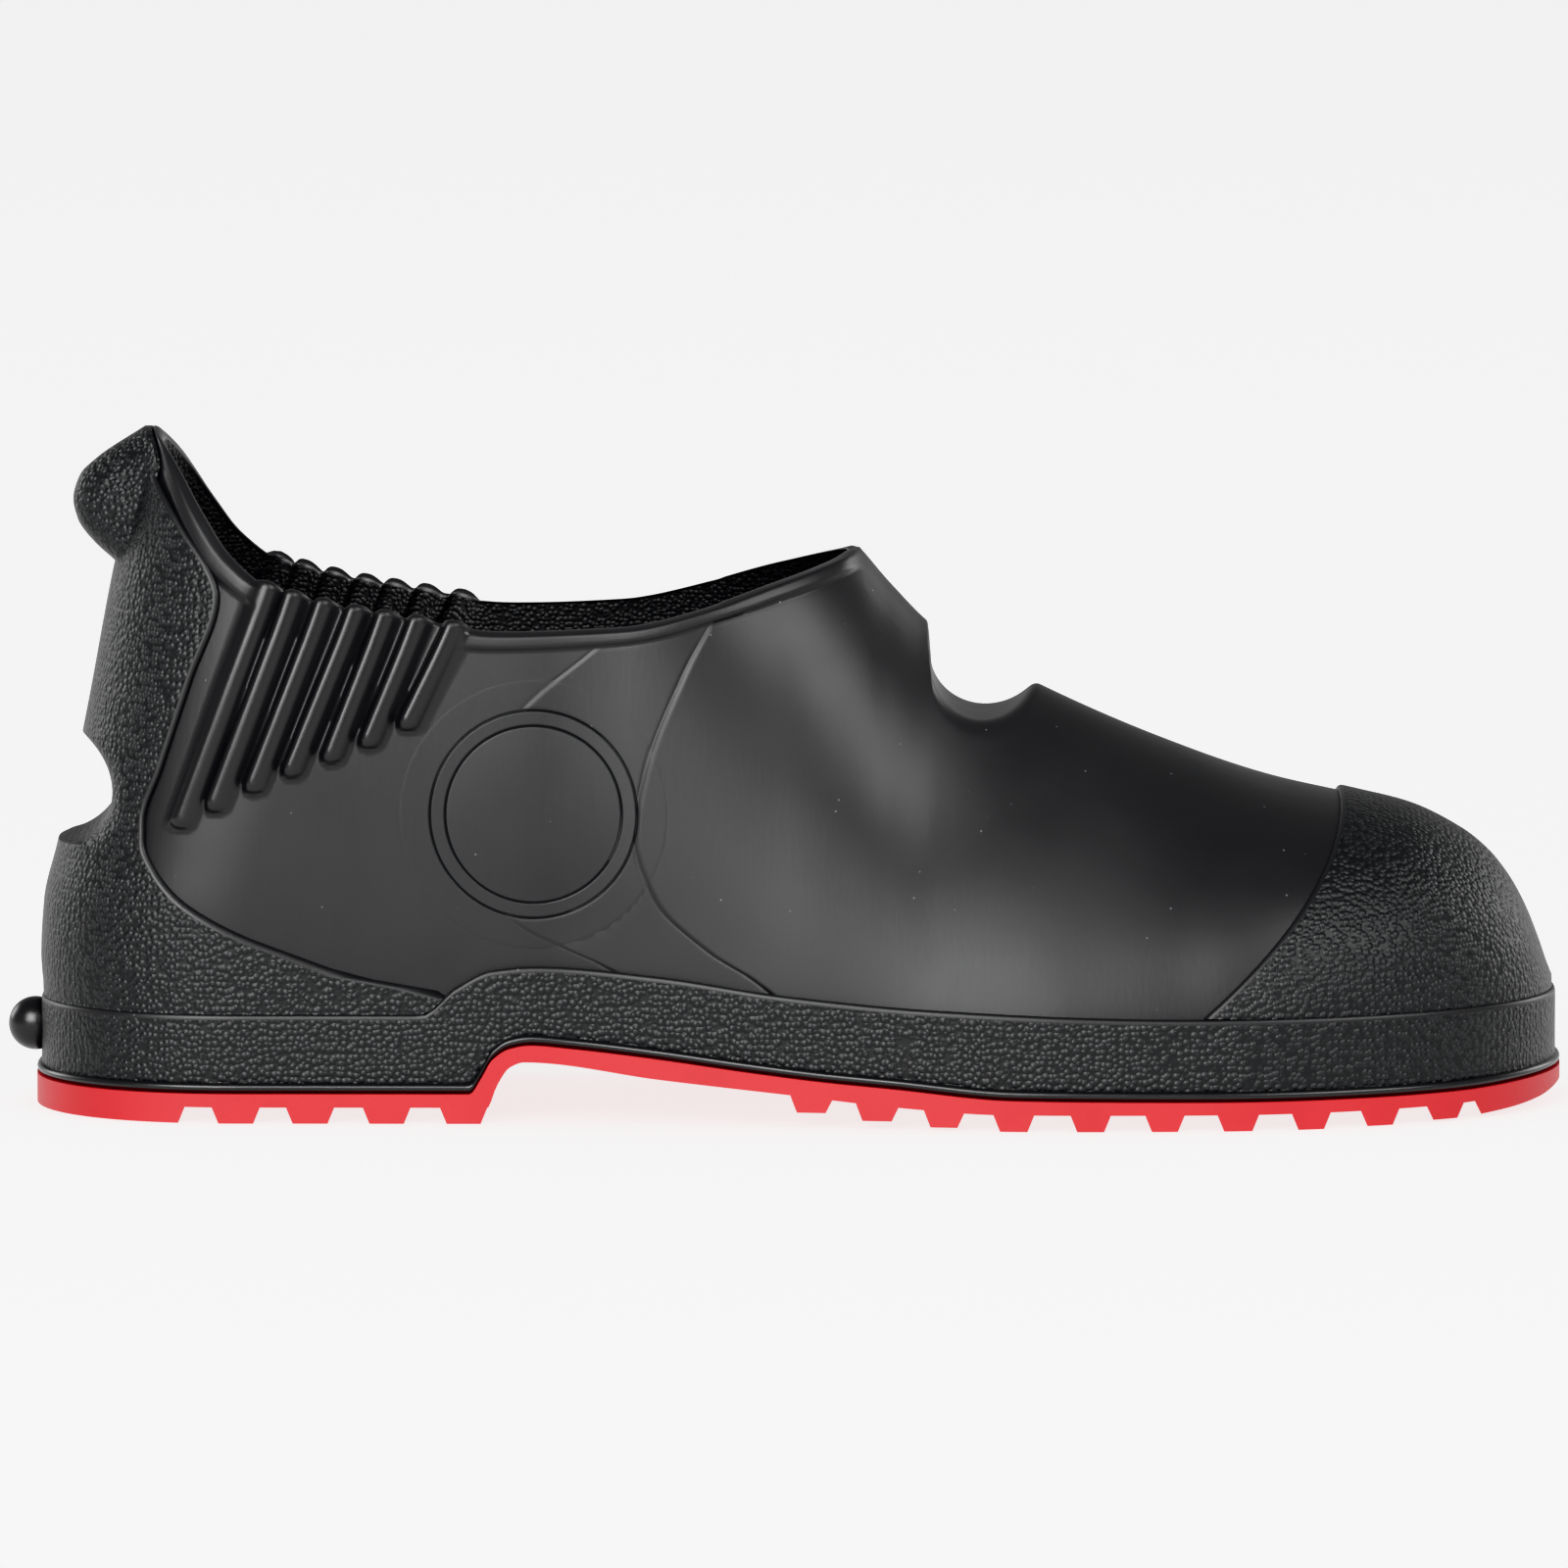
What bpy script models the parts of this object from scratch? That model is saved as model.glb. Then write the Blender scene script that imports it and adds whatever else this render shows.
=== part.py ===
"""A moulded work overshoe for the right foot: upper, toe cap, counter, rand and lugged outsole.

Sizes are in millimetres and become metres when a mesh is made. X runs from heel to toe, Y from
the outer side of the foot (negative) to the inner side, and Z up from the floor.
"""
import bpy
import bmesh
import numpy as np

MM = 0.001
NAME = "overshoe"

# Driving sizes, in millimetres
HEEL_END = -158.7          # rearmost point of the outsole
TOE_END = 165.2            # foremost point of the outsole
HEEL_ROUND = 46.0          # length of the round heel end, in plan
TOE_ROUND = 78.0           # length of the round toe end, in plan
ROUND_POWER = 2.25         # fullness of both ends, 2 is an ellipse
LUG_DEPTH = 3.4            # depth of the tread
GAP = 0.3                  # clearance between neighbouring pieces
FLANGE_HEIGHT = 2.0        # bead flange between rand and outsole
FLANGE_PROUD = 1.0         # how far the flange stands out from the rand
RAND_WALL = 1.6            # thickness of the rand
RAND_FLOOR = 2.2           # thickness of the tray floor
SEAT_INSET = FLANGE_PROUD + RAND_WALL + GAP
WALL = 2.2                 # thickness of the upper
SHOULDER = 20.0            # height up to which the sides stand upright
COUNTER_GAP = 0.65         # between the upper and the heel counter
COUNTER_WALL = 0.8
CAP_WALL = 0.9
BEAD_PROUD = 0.8           # collar bead, a step in the wall
BEAD_WIDTH = 3.7
BEAD_STEP = 0.4            # height over which the wall steps out to the bead
RIB_HEIGHT = 1.9           # gusset ribs
RIB_WIDTH = 5.4
EDGE = 0.6                 # bevel along the rand's top edge
FLANGE_EDGE = 0.4          # slope on top of the bead flange
TAB_WIDTH = 25.0
TAB_EDGE = 0.25            # thickness left at the tab's sides, as a share of its middle
BALL_RADIUS = 5.7          # kick-off ball on the back of the heel
BALL_HEIGHT = 16.0
BALL_X = -159.1
CHANNEL_HALF_WIDTH = 5.0   # centre channel of the tread
CHANNEL_REAR = -120.0
CHANNEL_FRONT = 138.0
CHANNEL_COVER = 0.5        # how far the channel's roof lies under the web
TOE_TIP = 18.0             # length of the toe where the tread's edge is drawn closely
WAIST = (-62.0, 0.0)       # stretch of the sole with no bars

# Round grooves pressed across the shoe: centre and radius in side view
HEEL_GROOVE = {"x": -152.7, "z": 67.6, "radius": 11.2 + COUNTER_GAP + COUNTER_WALL}
INSTEP_GROOVE = {"x": 42.4, "z": 93.7, "radius": 11.2}

# Plan outline of the outsole: centreline and half width, the ends are rounded by formula
OUTLINE = {
    "x": [-165.0, -112.7, -50.0, 10.0, 60.0, 90.0, 125.0, 165.2],
    "centre": [0.0, 0.0, -1.5, -1.0, 0.5, 2.0, 4.5, 7.0],
    "half": [44.0, 44.0, 43.0, 51.5, 58.5, 59.0, 58.0, 57.0],
}
# Section of the upper at each station: the powers of (1 - t^rise)^round
STATIONS = {
    "x": [-165.0, -83.0, -60.0, -33.0, 0.0, 42.4, 80.0, 110.0, 130.0, 170.0],
    "rise": [2.0, 2.0, 2.0, 2.0, 1.65, 1.35, 1.6, 2.2, 2.6, 2.6],
    "round": [0.5, 0.5, 0.5, 0.5, 0.55, 0.6, 0.57, 0.52, 0.5, 0.5],
}
# Ridge of the upper in side view: behind the throat it is the crest the collar cuts away
CREST = {
    "x": [-165.0, -83.0, -60.0, -33.0, 0.0, 16.0, 22.6, 31.9, 53.7, 80.0, 103.3, 122.0,
          132.8, 143.8, 149.1, 153.4, 156.7, 159.4, 161.2, 162.3],
    "z": [190.0, 194.0, 190.0, 172.0, 134.0, 117.6, 109.9, 100.7, 88.6, 76.9, 68.6, 64.1,
          61.3, 55.8, 51.5, 46.1, 40.1, 33.4, 28.2, 25.4],
}
# Edge of the collar in side view
COLLAR = {
    "x": [-136.0, -129.8, -123.3, -117.0, -107.0, -83.0, -58.0, -33.0, 0.0, 16.0],
    "z": [146.0, 138.2, 127.0, 118.0, 110.7, 105.3, 102.4, 103.4, 112.5, 117.6],
}
# Back of the heel in side view
HEEL = {
    "z": [0.0, 23.5, 31.0, 43.1, 54.7, 79.6, 115.2, 142.9],
    "x": [-155.8, -155.8, -156.3, -155.6, -152.8, -147.1, -140.2, -133.4],
}
# Top of the outsole, where the black mould begins, and the underside of its web
SOLE_TOP = {
    "x": [-165.0, -66.0, -63.4, -61.2, -57.5, -53.2, -44.7, -26.4, -8.1, 8.3, 22.7, 48.4,
          100.0, 140.0, 165.2],
    "z": [6.2, 6.2, 9.7, 13.4, 15.8, 16.5, 15.8, 13.8, 11.5, 9.7, 8.5, 6.4, 6.0, 6.2, 7.4],
}
# Lower edge of the upper, clear of the tray floor
SEAT = {
    "x": [-165.0, -90.0, -72.0, -64.0, -53.0, -44.7, -26.4, -8.1, 8.3, 22.7, 48.4, 100.0, 140.0, 165.2],
    "z": [9.0, 9.0, 17.0, 19.6, 20.0, 19.4, 17.4, 15.0, 13.0, 11.8, 9.6, 9.2, 9.4, 10.6],
}
WEB = {
    "x": [-165.0, -62.2, -60.2, -57.5, -54.5, -26.4, 1.5, 25.0, 45.0, 100.0, 140.0, 165.2],
    "z": [LUG_DEPTH, LUG_DEPTH, 8.0, 11.9, 13.0, 9.6, 6.9, 4.6, 3.5, LUG_DEPTH, 3.6, 5.4],
}
# Top edge of the rand
RAND_TOP = {
    "x": [-165.0, -76.0, -69.0, -61.2, -52.0, -26.4, 0.0, 30.0, 87.0, 165.0],
    "z": [22.8, 22.8, 28.3, 32.1, 32.9, 31.0, 27.5, 25.0, 23.2, 23.6],
}
# Tread bars: rear and front edge of the face that meets the floor, and its height
LUGS = {
    "rear": [-158.7, -118.6, -103.0, -86.9, -70.7, 2.7, 16.4, 30.6, 45.1, 61.2, 76.8, 91.9,
             107.5, 122.1, 136.2, 146.6],
    "front": [-127.1, -111.3, -95.7, -79.7, -63.6, 8.7, 22.5, 36.2, 50.8, 66.8, 82.2, 97.8,
              112.9, 127.5, 141.4, 165.2],
    "z": [0.0, 0.0, 0.0, 0.0, 0.0, 3.3, 1.8, 0.7, 0.0, 0.0, 0.0, 0.0, 0.0, 0.2, 0.6, 0.9],
}
LUG_SLOPE = 1.4            # how far a bar widens from its face to the web
TOE_LIFT = {"x": [146.6, 154.0, 160.0, 165.2], "z": [0.9, 1.6, 2.6, 4.4]}
# Rails that the upper's columns follow in side view: foot, head, bow, and how each moves with inset
RAILS = {
    "u": [0.0, 1.0, 7.0, 10.0, 11.0, 12.0, 14.0, 16.0],
    "foot": [-155.8, -145.6, -110.0, -12.0, 8.0, 28.0, 69.7, 162.3],
    "head": [-133.5, -107.1, -67.0, 16.0, 31.2, 52.6, 117.7, 162.3],
    "bow": [1.0, 1.0, 1.0, 1.2, 2.4, 2.4, 1.6, 1.6],
    "foot_shift": [1.0, 0.5, 0.0, 0.0, 0.0, 0.0, 0.0, -1.0],
    "head_shift": [1.0, 0.3, 0.0, -0.8, -1.0, 1.0, 0.0, -1.0],
}
THROAT_U = 10.0            # columns of the upper's net: front end of the collar
CAP_U = 14.0               # rear edge of the toe cap
TOE_U = 16.0               # toe tip
# Rows of the upper's net: level up to LEVEL_TOP, then spread up to the collar
LEVEL_TOP = 86.0
LOW_ROWS = [SEAT["z"][0], 23.0, 39.0]
GROOVE_ROWS = np.array([-1.02, -0.985, -0.72, -0.36, 0.0, 0.36, 0.72, 0.95])
HIGH_ROWS = [LEVEL_TOP, 98.0, 112.0, 126.0, 137.0]
# Gusset ribs, one at each whole number of u, from the collar down to a foot that climbs forwards
RIB_COUNT = 7
RIB_END_SHARE = 0.12       # half width of the first and last rib towards the plain wall, in u
RIB_FOOT_FIRST = 61.4
RIB_FOOT_LAST = 81.8
# Front edge of the heel counter in side view, from the rand up to the collar bead
COUNTER_EDGE = {
    "z": [23.0, 27.0, 32.4, 39.2, 47.2, 56.6, 62.5, 73.5, 92.5, 112.0, 124.0, 134.0],
    "x": [-78.0, -80.0, -93.2, -112.3, -126.9, -133.6, -134.0, -130.4, -124.2, -123.8, -130.6, -134.6],
}
COUNTER_ROWS = [27.0, 31.0, 35.0, 39.0, 43.0, 47.0, 51.0]  # close rows where the edge sweeps forward
COUNTER_TOP = 133.5
# Pull tab in side view, from its lower root round the nose to its upper root
TAB = {
    "s": [0.0, 0.2, 0.35, 0.5, 0.65, 0.8, 1.0],
    "x": [-142.2, -146.4, -149.6, -150.6, -149.3, -145.6, -137.2],
    "z": [115.4, 119.2, 123.6, 127.9, 132.4, 136.0, 141.4],
}

BLACK_SMOOTH = (0.042, 0.044, 0.046, 1.0)
BLACK_GRAINED = (0.024, 0.025, 0.027, 1.0)
BLACK_GLOSS = (0.018, 0.018, 0.019, 1.0)
RED_RUBBER = (0.80, 0.040, 0.046, 1.0)


def smooth(table, key, value, at):
    """Monotone cubic through a table's rows, read at the given places."""
    x = np.asarray(table[key], float)
    y = np.asarray(table[value], float)
    step = np.diff(x)
    rise = np.diff(y) / step
    same = rise[:-1] * rise[1:] > 0
    total = np.where(same, rise[:-1] + rise[1:], 1.0)
    inner = np.where(same, 2 * rise[:-1] * rise[1:] / total, 0.0)
    slope = np.concatenate(([rise[0]], inner, [rise[-1]]))
    at = np.clip(np.asarray(at, float), x[0], x[-1])
    i = np.clip(np.searchsorted(x, at) - 1, 0, len(step) - 1)
    f = (at - x[i]) / step[i]
    start = y[i] * (1 + 2 * f) * (1 - f) ** 2 + slope[i] * step[i] * f * (1 - f) ** 2
    end = y[i + 1] * f ** 2 * (3 - 2 * f) + slope[i + 1] * step[i] * f ** 2 * (f - 1)
    return start + end


def linear(table, key, value, at):
    """Straight lines through a table's rows, read at the given places."""
    return np.interp(at, table[key], table[value])


def centre_line(x):
    return smooth(OUTLINE, "x", "centre", x)


def rounded(share):
    """Superellipse: 1 away from an end, 0 on it, for a share from 0 to 1 of the end's length."""
    return (1 - np.clip(share, 0, 1) ** ROUND_POWER) ** (1 / ROUND_POWER)


def toe_round(x, inset):
    start = TOE_END - TOE_ROUND
    return rounded((x - start) / (TOE_ROUND - inset))


def heel_round(distance, inset):
    return rounded(1 - distance / (HEEL_ROUND - inset))


def outline_half(x, inset):
    """Half width of the plan outline, drawn in by the inset."""
    half = smooth(OUTLINE, "x", "half", x) - inset
    return half * toe_round(x, inset) * heel_round(x - HEEL_END - inset, inset)


def crest_height(x, inset):
    """Height of the ridge, moved along its own normal by the inset."""
    run = np.linspace(CREST["x"][0], CREST["x"][-1], 700)
    height = smooth(CREST, "x", "z", run)
    slope = np.gradient(height, run)
    length = np.sqrt(1 + slope ** 2)
    moved_x = run + inset * slope / length
    moved_z = height - inset / length
    return np.interp(x, moved_x, moved_z)


def heel_back(z, inset):
    return smooth(HEEL, "z", "x", z) + inset


def half_breadth(x, z, inset):
    """Half width of the upper at a point of its side view."""
    half = smooth(OUTLINE, "x", "half", x) - SEAT_INSET - inset
    rise = smooth(STATIONS, "x", "rise", x)
    power = smooth(STATIONS, "x", "round", x)
    t = np.clip((z - SHOULDER) / (crest_height(x, inset) - SHOULDER), 0, 1)
    distance = x - heel_back(z, inset)
    ends = toe_round(x, SEAT_INSET + inset) * heel_round(distance, SEAT_INSET + inset)
    return half * (1 - t ** rise) ** power * ends


def press_grooves(x, z, inset):
    """Moves side-view points out of the two round grooves, onto their floors."""
    heel_r = HEEL_GROOVE["radius"] + inset
    inside = np.clip(heel_r ** 2 - (z - HEEL_GROOVE["z"]) ** 2, 0, None)
    floor_x = np.where(inside > 0, HEEL_GROOVE["x"] + np.sqrt(inside), x)
    instep_r = INSTEP_GROOVE["radius"] + inset
    inside = np.clip(instep_r ** 2 - (x - INSTEP_GROOVE["x"]) ** 2, 0, None)
    floor_z = np.where(inside > 0, INSTEP_GROOVE["z"] - np.sqrt(inside), z)
    return np.maximum(x, floor_x), np.minimum(z, floor_z)


def floor_height(x):
    """Top of the tray floor."""
    return linear(SOLE_TOP, "x", "z", x) + GAP + RAND_FLOOR


def rib_relief(u, height):
    """Outward swell of the gusset ribs: half rounds along whole numbers of u, with round feet."""
    rib = np.clip(np.round(u), 1, RIB_COUNT)
    foot = RIB_FOOT_FIRST + (RIB_FOOT_LAST - RIB_FOOT_FIRST) * (rib - 1) / (RIB_COUNT - 1)
    outside = (u < 1) | (u > RIB_COUNT)
    across = np.clip(np.abs(u - rib) / np.where(outside, RIB_END_SHARE, 0.5), 0, 1)
    along = np.clip((foot + RIB_WIDTH / 2 - height) / (RIB_WIDTH / 2), 0, 1)
    return RIB_HEIGHT * np.sqrt(np.clip(1 - across ** 2 - along ** 2, 0, 1))


def heel_rows(inset):
    """Heights of the net's rows up the heel, with rows on the groove's lips."""
    groove = HEEL_GROOVE["z"] + (HEEL_GROOVE["radius"] + inset) * GROOVE_ROWS
    return np.concatenate((LOW_ROWS, groove, HIGH_ROWS))


def upper_net(u, inset):
    """Side-view points of the upper: a column for each u, the heel rows and two more for the bead.

    Behind the throat the rows are level up to LEVEL_TOP and then spread up to the bead. In
    front of it they follow the sine of their number, which spaces them evenly over the ridge.
    """
    u = np.asarray(u, float)[:, None]
    foot = smooth(RAILS, "u", "foot", u) + inset * linear(RAILS, "u", "foot_shift", u)
    head = smooth(RAILS, "u", "head", u) + inset * linear(RAILS, "u", "head_shift", u)
    bow = linear(RAILS, "u", "bow", u)
    low = linear(SEAT, "x", "z", foot)
    crest = crest_height(head, inset)
    top = np.where(u < THROAT_U, np.minimum(smooth(COLLAR, "x", "z", head), crest), crest)
    rows = heel_rows(inset)
    bead = top - BEAD_WIDTH
    reach = (bead - BEAD_STEP - LEVEL_TOP) / (HIGH_ROWS[-1] - LEVEL_TOP)
    rear = np.where(rows <= LEVEL_TOP, np.maximum(rows, low), LEVEL_TOP + (rows - LEVEL_TOP) * reach)
    rear[:, :1] = low
    rear = np.concatenate((rear, bead, top), axis=1)
    arch = low + (top - low) * np.sin(np.linspace(0, np.pi / 2, rear.shape[1]))
    front = np.clip((u - THROAT_U + 1.5) / 2, 0, 1)
    front = front * front * (3 - 2 * front)
    z = rear * (1 - front) + arch * front
    share = np.clip((z - low) / (top - low), 0, 1)
    x = head - (head - foot) * (1 - share) ** bow
    chord = heel_back(low, inset) + (heel_back(top, inset) - heel_back(low, inset)) * share
    x = x + (heel_back(z, inset) - chord) * np.clip(1 - u, 0, 1)
    return x, z


def upper_side(u, side, inset, relief):
    """Points of one side of the upper's surface, columns by rows by 3."""
    x, z = upper_net(u, inset)
    y = half_breadth(x, z, inset)
    if relief:
        bead_x, bead_z = upper_net(u, inset - BEAD_PROUD)
        y = y + rib_relief(np.asarray(u)[:, None] + 0 * z, z) * (y > 0)
        bead_y = half_breadth(bead_x, bead_z, inset - BEAD_PROUD)
        on_bead = (np.arange(z.shape[1]) >= z.shape[1] - 2) & (np.asarray(u)[:, None] <= THROAT_U)
        x = np.where(on_bead, bead_x, x)
        y = np.where(on_bead, np.maximum(bead_y, y), y)
    x, z = press_grooves(x, z, inset)
    return np.stack((x, centre_line(x) + side * y, z), axis=-1)


def both_sides(make, columns):
    """Joins the outer side, read backwards, to the inner side along their shared midline column."""
    outer = make(columns, -1.0)
    inner = make(columns, 1.0)
    return np.concatenate((outer[::-1], inner[1:]))


def quad_strip(first, second, closed=False):
    """Quads between two rows of vertex numbers."""
    count = len(first) if closed else len(first) - 1
    size = len(first)
    return [(first[i], first[(i + 1) % size], second[(i + 1) % size], second[i]) for i in range(count)]


def shell(outer, inner, open_top, open_sides):
    """Wall between two grids of one size: edges are closed except where the two sides meet."""
    columns, rows = outer.shape[:2]
    points = np.concatenate((outer.reshape(-1, 3), inner.reshape(-1, 3)))
    number = np.arange(columns * rows).reshape(columns, rows)
    far = number + columns * rows
    faces = []
    for i in range(columns - 1):
        faces += quad_strip(number[i], number[i + 1])
        faces += quad_strip(far[i + 1], far[i])
        faces.append((number[i][0], number[i + 1][0], far[i + 1][0], far[i][0]))
        if open_top[i] and open_top[i + 1]:
            faces.append((number[i + 1][-1], number[i][-1], far[i][-1], far[i + 1][-1]))
    if open_sides:
        faces += quad_strip(number[0], far[0])
        faces += quad_strip(far[-1], number[-1])
    return points, faces


def material(name, colour, roughness):
    made = bpy.data.materials.new(name)
    made.use_nodes = True
    surface = made.node_tree.nodes["Principled BSDF"]
    surface.inputs["Base Color"].default_value = colour
    surface.inputs["Roughness"].default_value = roughness
    surface.inputs["Metallic"].default_value = 0.0
    made.diffuse_color = colour
    return made


def add_object(name, points, faces, finish, collection):
    """Makes one closed mesh object from points in millimetres, with doubles joined."""
    mesh = bpy.data.meshes.new(name)
    mesh.from_pydata((np.asarray(points) * MM).tolist(), [], [tuple(map(int, f)) for f in faces])
    work = bmesh.new()
    work.from_mesh(mesh)
    bmesh.ops.remove_doubles(work, verts=work.verts, dist=2e-6)
    bmesh.ops.dissolve_degenerate(work, edges=work.edges, dist=1e-6)
    bmesh.ops.triangulate(work, faces=work.faces)
    bmesh.ops.recalc_face_normals(work, faces=work.faces)
    work.to_mesh(mesh)
    work.free()
    mesh.shade_smooth()
    mesh.set_sharp_from_angle(angle=np.radians(35))
    made = bpy.data.objects.new(name, mesh)
    made.data.materials.append(finish)
    collection.objects.link(made)
    return made


def build_upper(finish, collection):
    heel = [0.0, 0.05, 0.16, 0.34, 0.6, 1 - RIB_END_SHARE]
    ribs = np.arange(1.0, RIB_COUNT + 0.25, 0.5)
    quarter = [RIB_COUNT + RIB_END_SHARE, 7.5, 7.9, 8.3, 8.7, 9.1, 9.5, THROAT_U, 10.5]
    groove = [10.97, 11.03, 11.22, 11.5, 11.78, 11.97, 12.06]
    vamp = [12.6, 13.3, CAP_U]
    toe = CAP_U + (TOE_U - CAP_U) * np.sin(np.linspace(0, np.pi / 2, 10)[1:])
    columns = np.concatenate((heel, ribs, quarter, groove, vamp, toe))
    outer = both_sides(lambda u, side: upper_side(u, side, 0.0, True), columns)
    inner = both_sides(lambda u, side: upper_side(u, side, WALL, False), columns)
    around = np.concatenate((columns[::-1], columns[1:]))
    points, faces = shell(outer, inner, around <= THROAT_U, False)
    return add_object("upper", points, faces, finish, collection)


def cap_side(u, side, inset):
    """The toe cap's part of the upper's surface, from the rand's top to the ridge."""
    x, z = upper_net(u, inset)
    low = smooth(RAND_TOP, "x", "z", x[:, :1]) + GAP
    top = z[:, -1:]
    share = np.sin(np.linspace(0, np.pi / 2, 11))
    height = low + (top - low) * share
    rows = [np.interp(height[i], z[i], x[i]) for i in range(len(u))]
    x = np.array(rows)
    y = half_breadth(x, height, inset)
    return np.stack((x, centre_line(x) + side * y, height), axis=-1)


def build_toe_cap(finish, collection):
    columns = CAP_U + (TOE_U - CAP_U) * np.sin(np.linspace(0, np.pi / 2, 11))
    columns = columns[::-1]
    outer = both_sides(lambda u, side: cap_side(u, side, -GAP - CAP_WALL), columns)
    inner = both_sides(lambda u, side: cap_side(u, side, -GAP), columns)
    points, faces = shell(outer, inner, np.zeros(len(outer), bool), True)
    return add_object("toe_cap", points, faces, finish, collection)


def counter_side(s, side, inset):
    """The counter's part of the upper's surface, in level rows from the heel to its front edge."""
    rows = heel_rows(inset)[len(LOW_ROWS):-1]
    z = np.concatenate(([smooth(RAND_TOP, "x", "z", HEEL_END) + GAP], COUNTER_ROWS, rows, [COUNTER_TOP]))
    back = heel_back(z, inset)
    share = (np.asarray(s) ** 2)[:, None]
    x = back + (smooth(COUNTER_EDGE, "z", "x", z) - back) * share
    z = z + 0 * x
    y = half_breadth(x, z, inset)
    x, z = press_grooves(x, z, inset)
    return np.stack((x, centre_line(x) + side * y, z), axis=-1)


def build_counter(finish, collection):
    share = np.linspace(0, 1, 11)
    outer = both_sides(lambda s, side: counter_side(s, side, -COUNTER_GAP - COUNTER_WALL), share)
    inner = both_sides(lambda s, side: counter_side(s, side, -COUNTER_GAP), share)
    points, faces = shell(outer, inner, np.ones(len(outer), bool), True)
    return add_object("heel_counter", points, faces, finish, collection)


def sole_stations():
    """Places along the sole: close together at the round ends, and one at each bend of its top."""
    middle = (HEEL_END + TOE_END) / 2
    even = middle - (TOE_END - HEEL_END) / 2 * np.cos(np.linspace(0, np.pi, 37))
    bends = [x for x in SOLE_TOP["x"] if HEEL_END < x < TOE_END]
    return np.unique(np.concatenate((even, bends)))


def loop_points(stations, inset, height):
    """Closed loop at an inset of the outline, its height a function of x: outer side, inner side."""
    share = (stations - HEEL_END) / (TOE_END - HEEL_END)
    x = stations + inset * (1 - 2 * share)
    half = outline_half(x, inset)
    z = height(x)
    outer = np.stack((x, centre_line(x) - half, z), axis=-1)
    inner = np.stack((x, centre_line(x) + half, z), axis=-1)
    return outer, inner


def build_rand(finish, collection):
    bottom = lambda x: linear(SOLE_TOP, "x", "z", x) + GAP
    top = lambda x: smooth(RAND_TOP, "x", "z", x)
    wall_in = FLANGE_PROUD + RAND_WALL
    profile = [
        (0.0, bottom),
        (0.0, lambda x: bottom(x) + FLANGE_HEIGHT - FLANGE_EDGE),
        (FLANGE_PROUD, lambda x: bottom(x) + FLANGE_HEIGHT),
        (FLANGE_PROUD, lambda x: top(x) - EDGE),
        (FLANGE_PROUD + EDGE, top),
        (wall_in, top),
        (wall_in, floor_height),
    ]
    stations = sole_stations()
    loops = [loop_points(stations, inset, height) for inset, height in profile]
    count = len(stations)
    points = np.concatenate([np.concatenate(pair) for pair in loops])
    faces = []
    for k in range(len(profile) - 1):
        low = np.arange(count) + 2 * count * k
        high = low + 2 * count
        faces += quad_strip(low, high)
        faces += quad_strip(high + count, low + count)
    first = np.arange(count)
    last = first + 2 * count * (len(profile) - 1)
    faces += quad_strip(first + count, first)
    faces += quad_strip(last, last + count)
    return add_object("rand", points, faces, finish, collection)


def tread_line():
    """Underside of the outsole in side view: web and bars as a line of x and z."""
    places = []
    for rear, front, z in zip(LUGS["rear"], LUGS["front"], LUGS["z"]):
        if rear > HEEL_END:
            places.append((rear - LUG_SLOPE, None))
            places.append((rear, z))
        if front < TOE_END:
            places.append((front, z))
            places.append((front + LUG_SLOPE, None))
    places += [(x, None) for x in WEB["x"] if WAIST[0] < x < WAIST[1]]
    spacing = 1 - np.cos(np.linspace(0, np.pi / 2, 9))
    heel = HEEL_END + HEEL_ROUND * spacing
    toe = TOE_END - TOE_TIP * spacing
    places += [(x, 0.0) for x in heel if x < LUGS["front"][0] - LUG_SLOPE]
    places += [(x, smooth(TOE_LIFT, "x", "z", x)) for x in toe if x > LUGS["rear"][-1]]
    places.sort(key=lambda place: place[0])
    x = np.array([place[0] for place in places])
    web_z = linear(WEB, "x", "z", x)
    z = np.array([web_z[i] if place[1] is None else place[1] for i, place in enumerate(places)])
    stations = np.unique(np.concatenate((x, [b for b in SOLE_TOP["x"] if x[0] < b < x[-1]])))
    return stations, np.interp(stations, x, z)


def build_outsole(finish, collection, cutters):
    x, under = tread_line()
    top = linear(SOLE_TOP, "x", "z", x)
    half = outline_half(x, 0.0)
    centre = centre_line(x)
    rows = [(centre - half, under), (centre - half, top), (centre + half, top), (centre + half, under)]
    points = np.concatenate([np.stack((x, y, z), axis=-1) for y, z in rows])
    count = len(x)
    number = np.arange(count)
    faces = []
    for k in range(4):
        faces += quad_strip(number + count * k, number + count * ((k + 1) % 4))
    made = add_object("outsole", points, faces, finish, collection)

    run = np.linspace(CHANNEL_REAR, CHANNEL_FRONT, 40)
    roof = linear(WEB, "x", "z", run) - CHANNEL_COVER
    below = np.full_like(run, -LUG_DEPTH)
    left = centre_line(run) - CHANNEL_HALF_WIDTH
    right = centre_line(run) + CHANNEL_HALF_WIDTH
    rows = [(left, below), (left, roof), (right, roof), (right, below)]
    points = np.concatenate([np.stack((run, y, z), axis=-1) for y, z in rows])
    number = np.arange(len(run))
    faces = []
    for k in range(4):
        faces += quad_strip(number + len(run) * k, number + len(run) * ((k + 1) % 4))
    ends = np.arange(4) * len(run)
    faces += [tuple(ends), tuple(ends[::-1] + len(run) - 1)]
    cutter = add_object("channel_cutter", points, faces, finish, cutters)
    cutter.parent = made
    cutter.hide_render = True
    cutter.display_type = "WIRE"
    cut = made.modifiers.new("centre_channel", "BOOLEAN")
    cut.operation = "DIFFERENCE"
    cut.object = cutter
    return made


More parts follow.
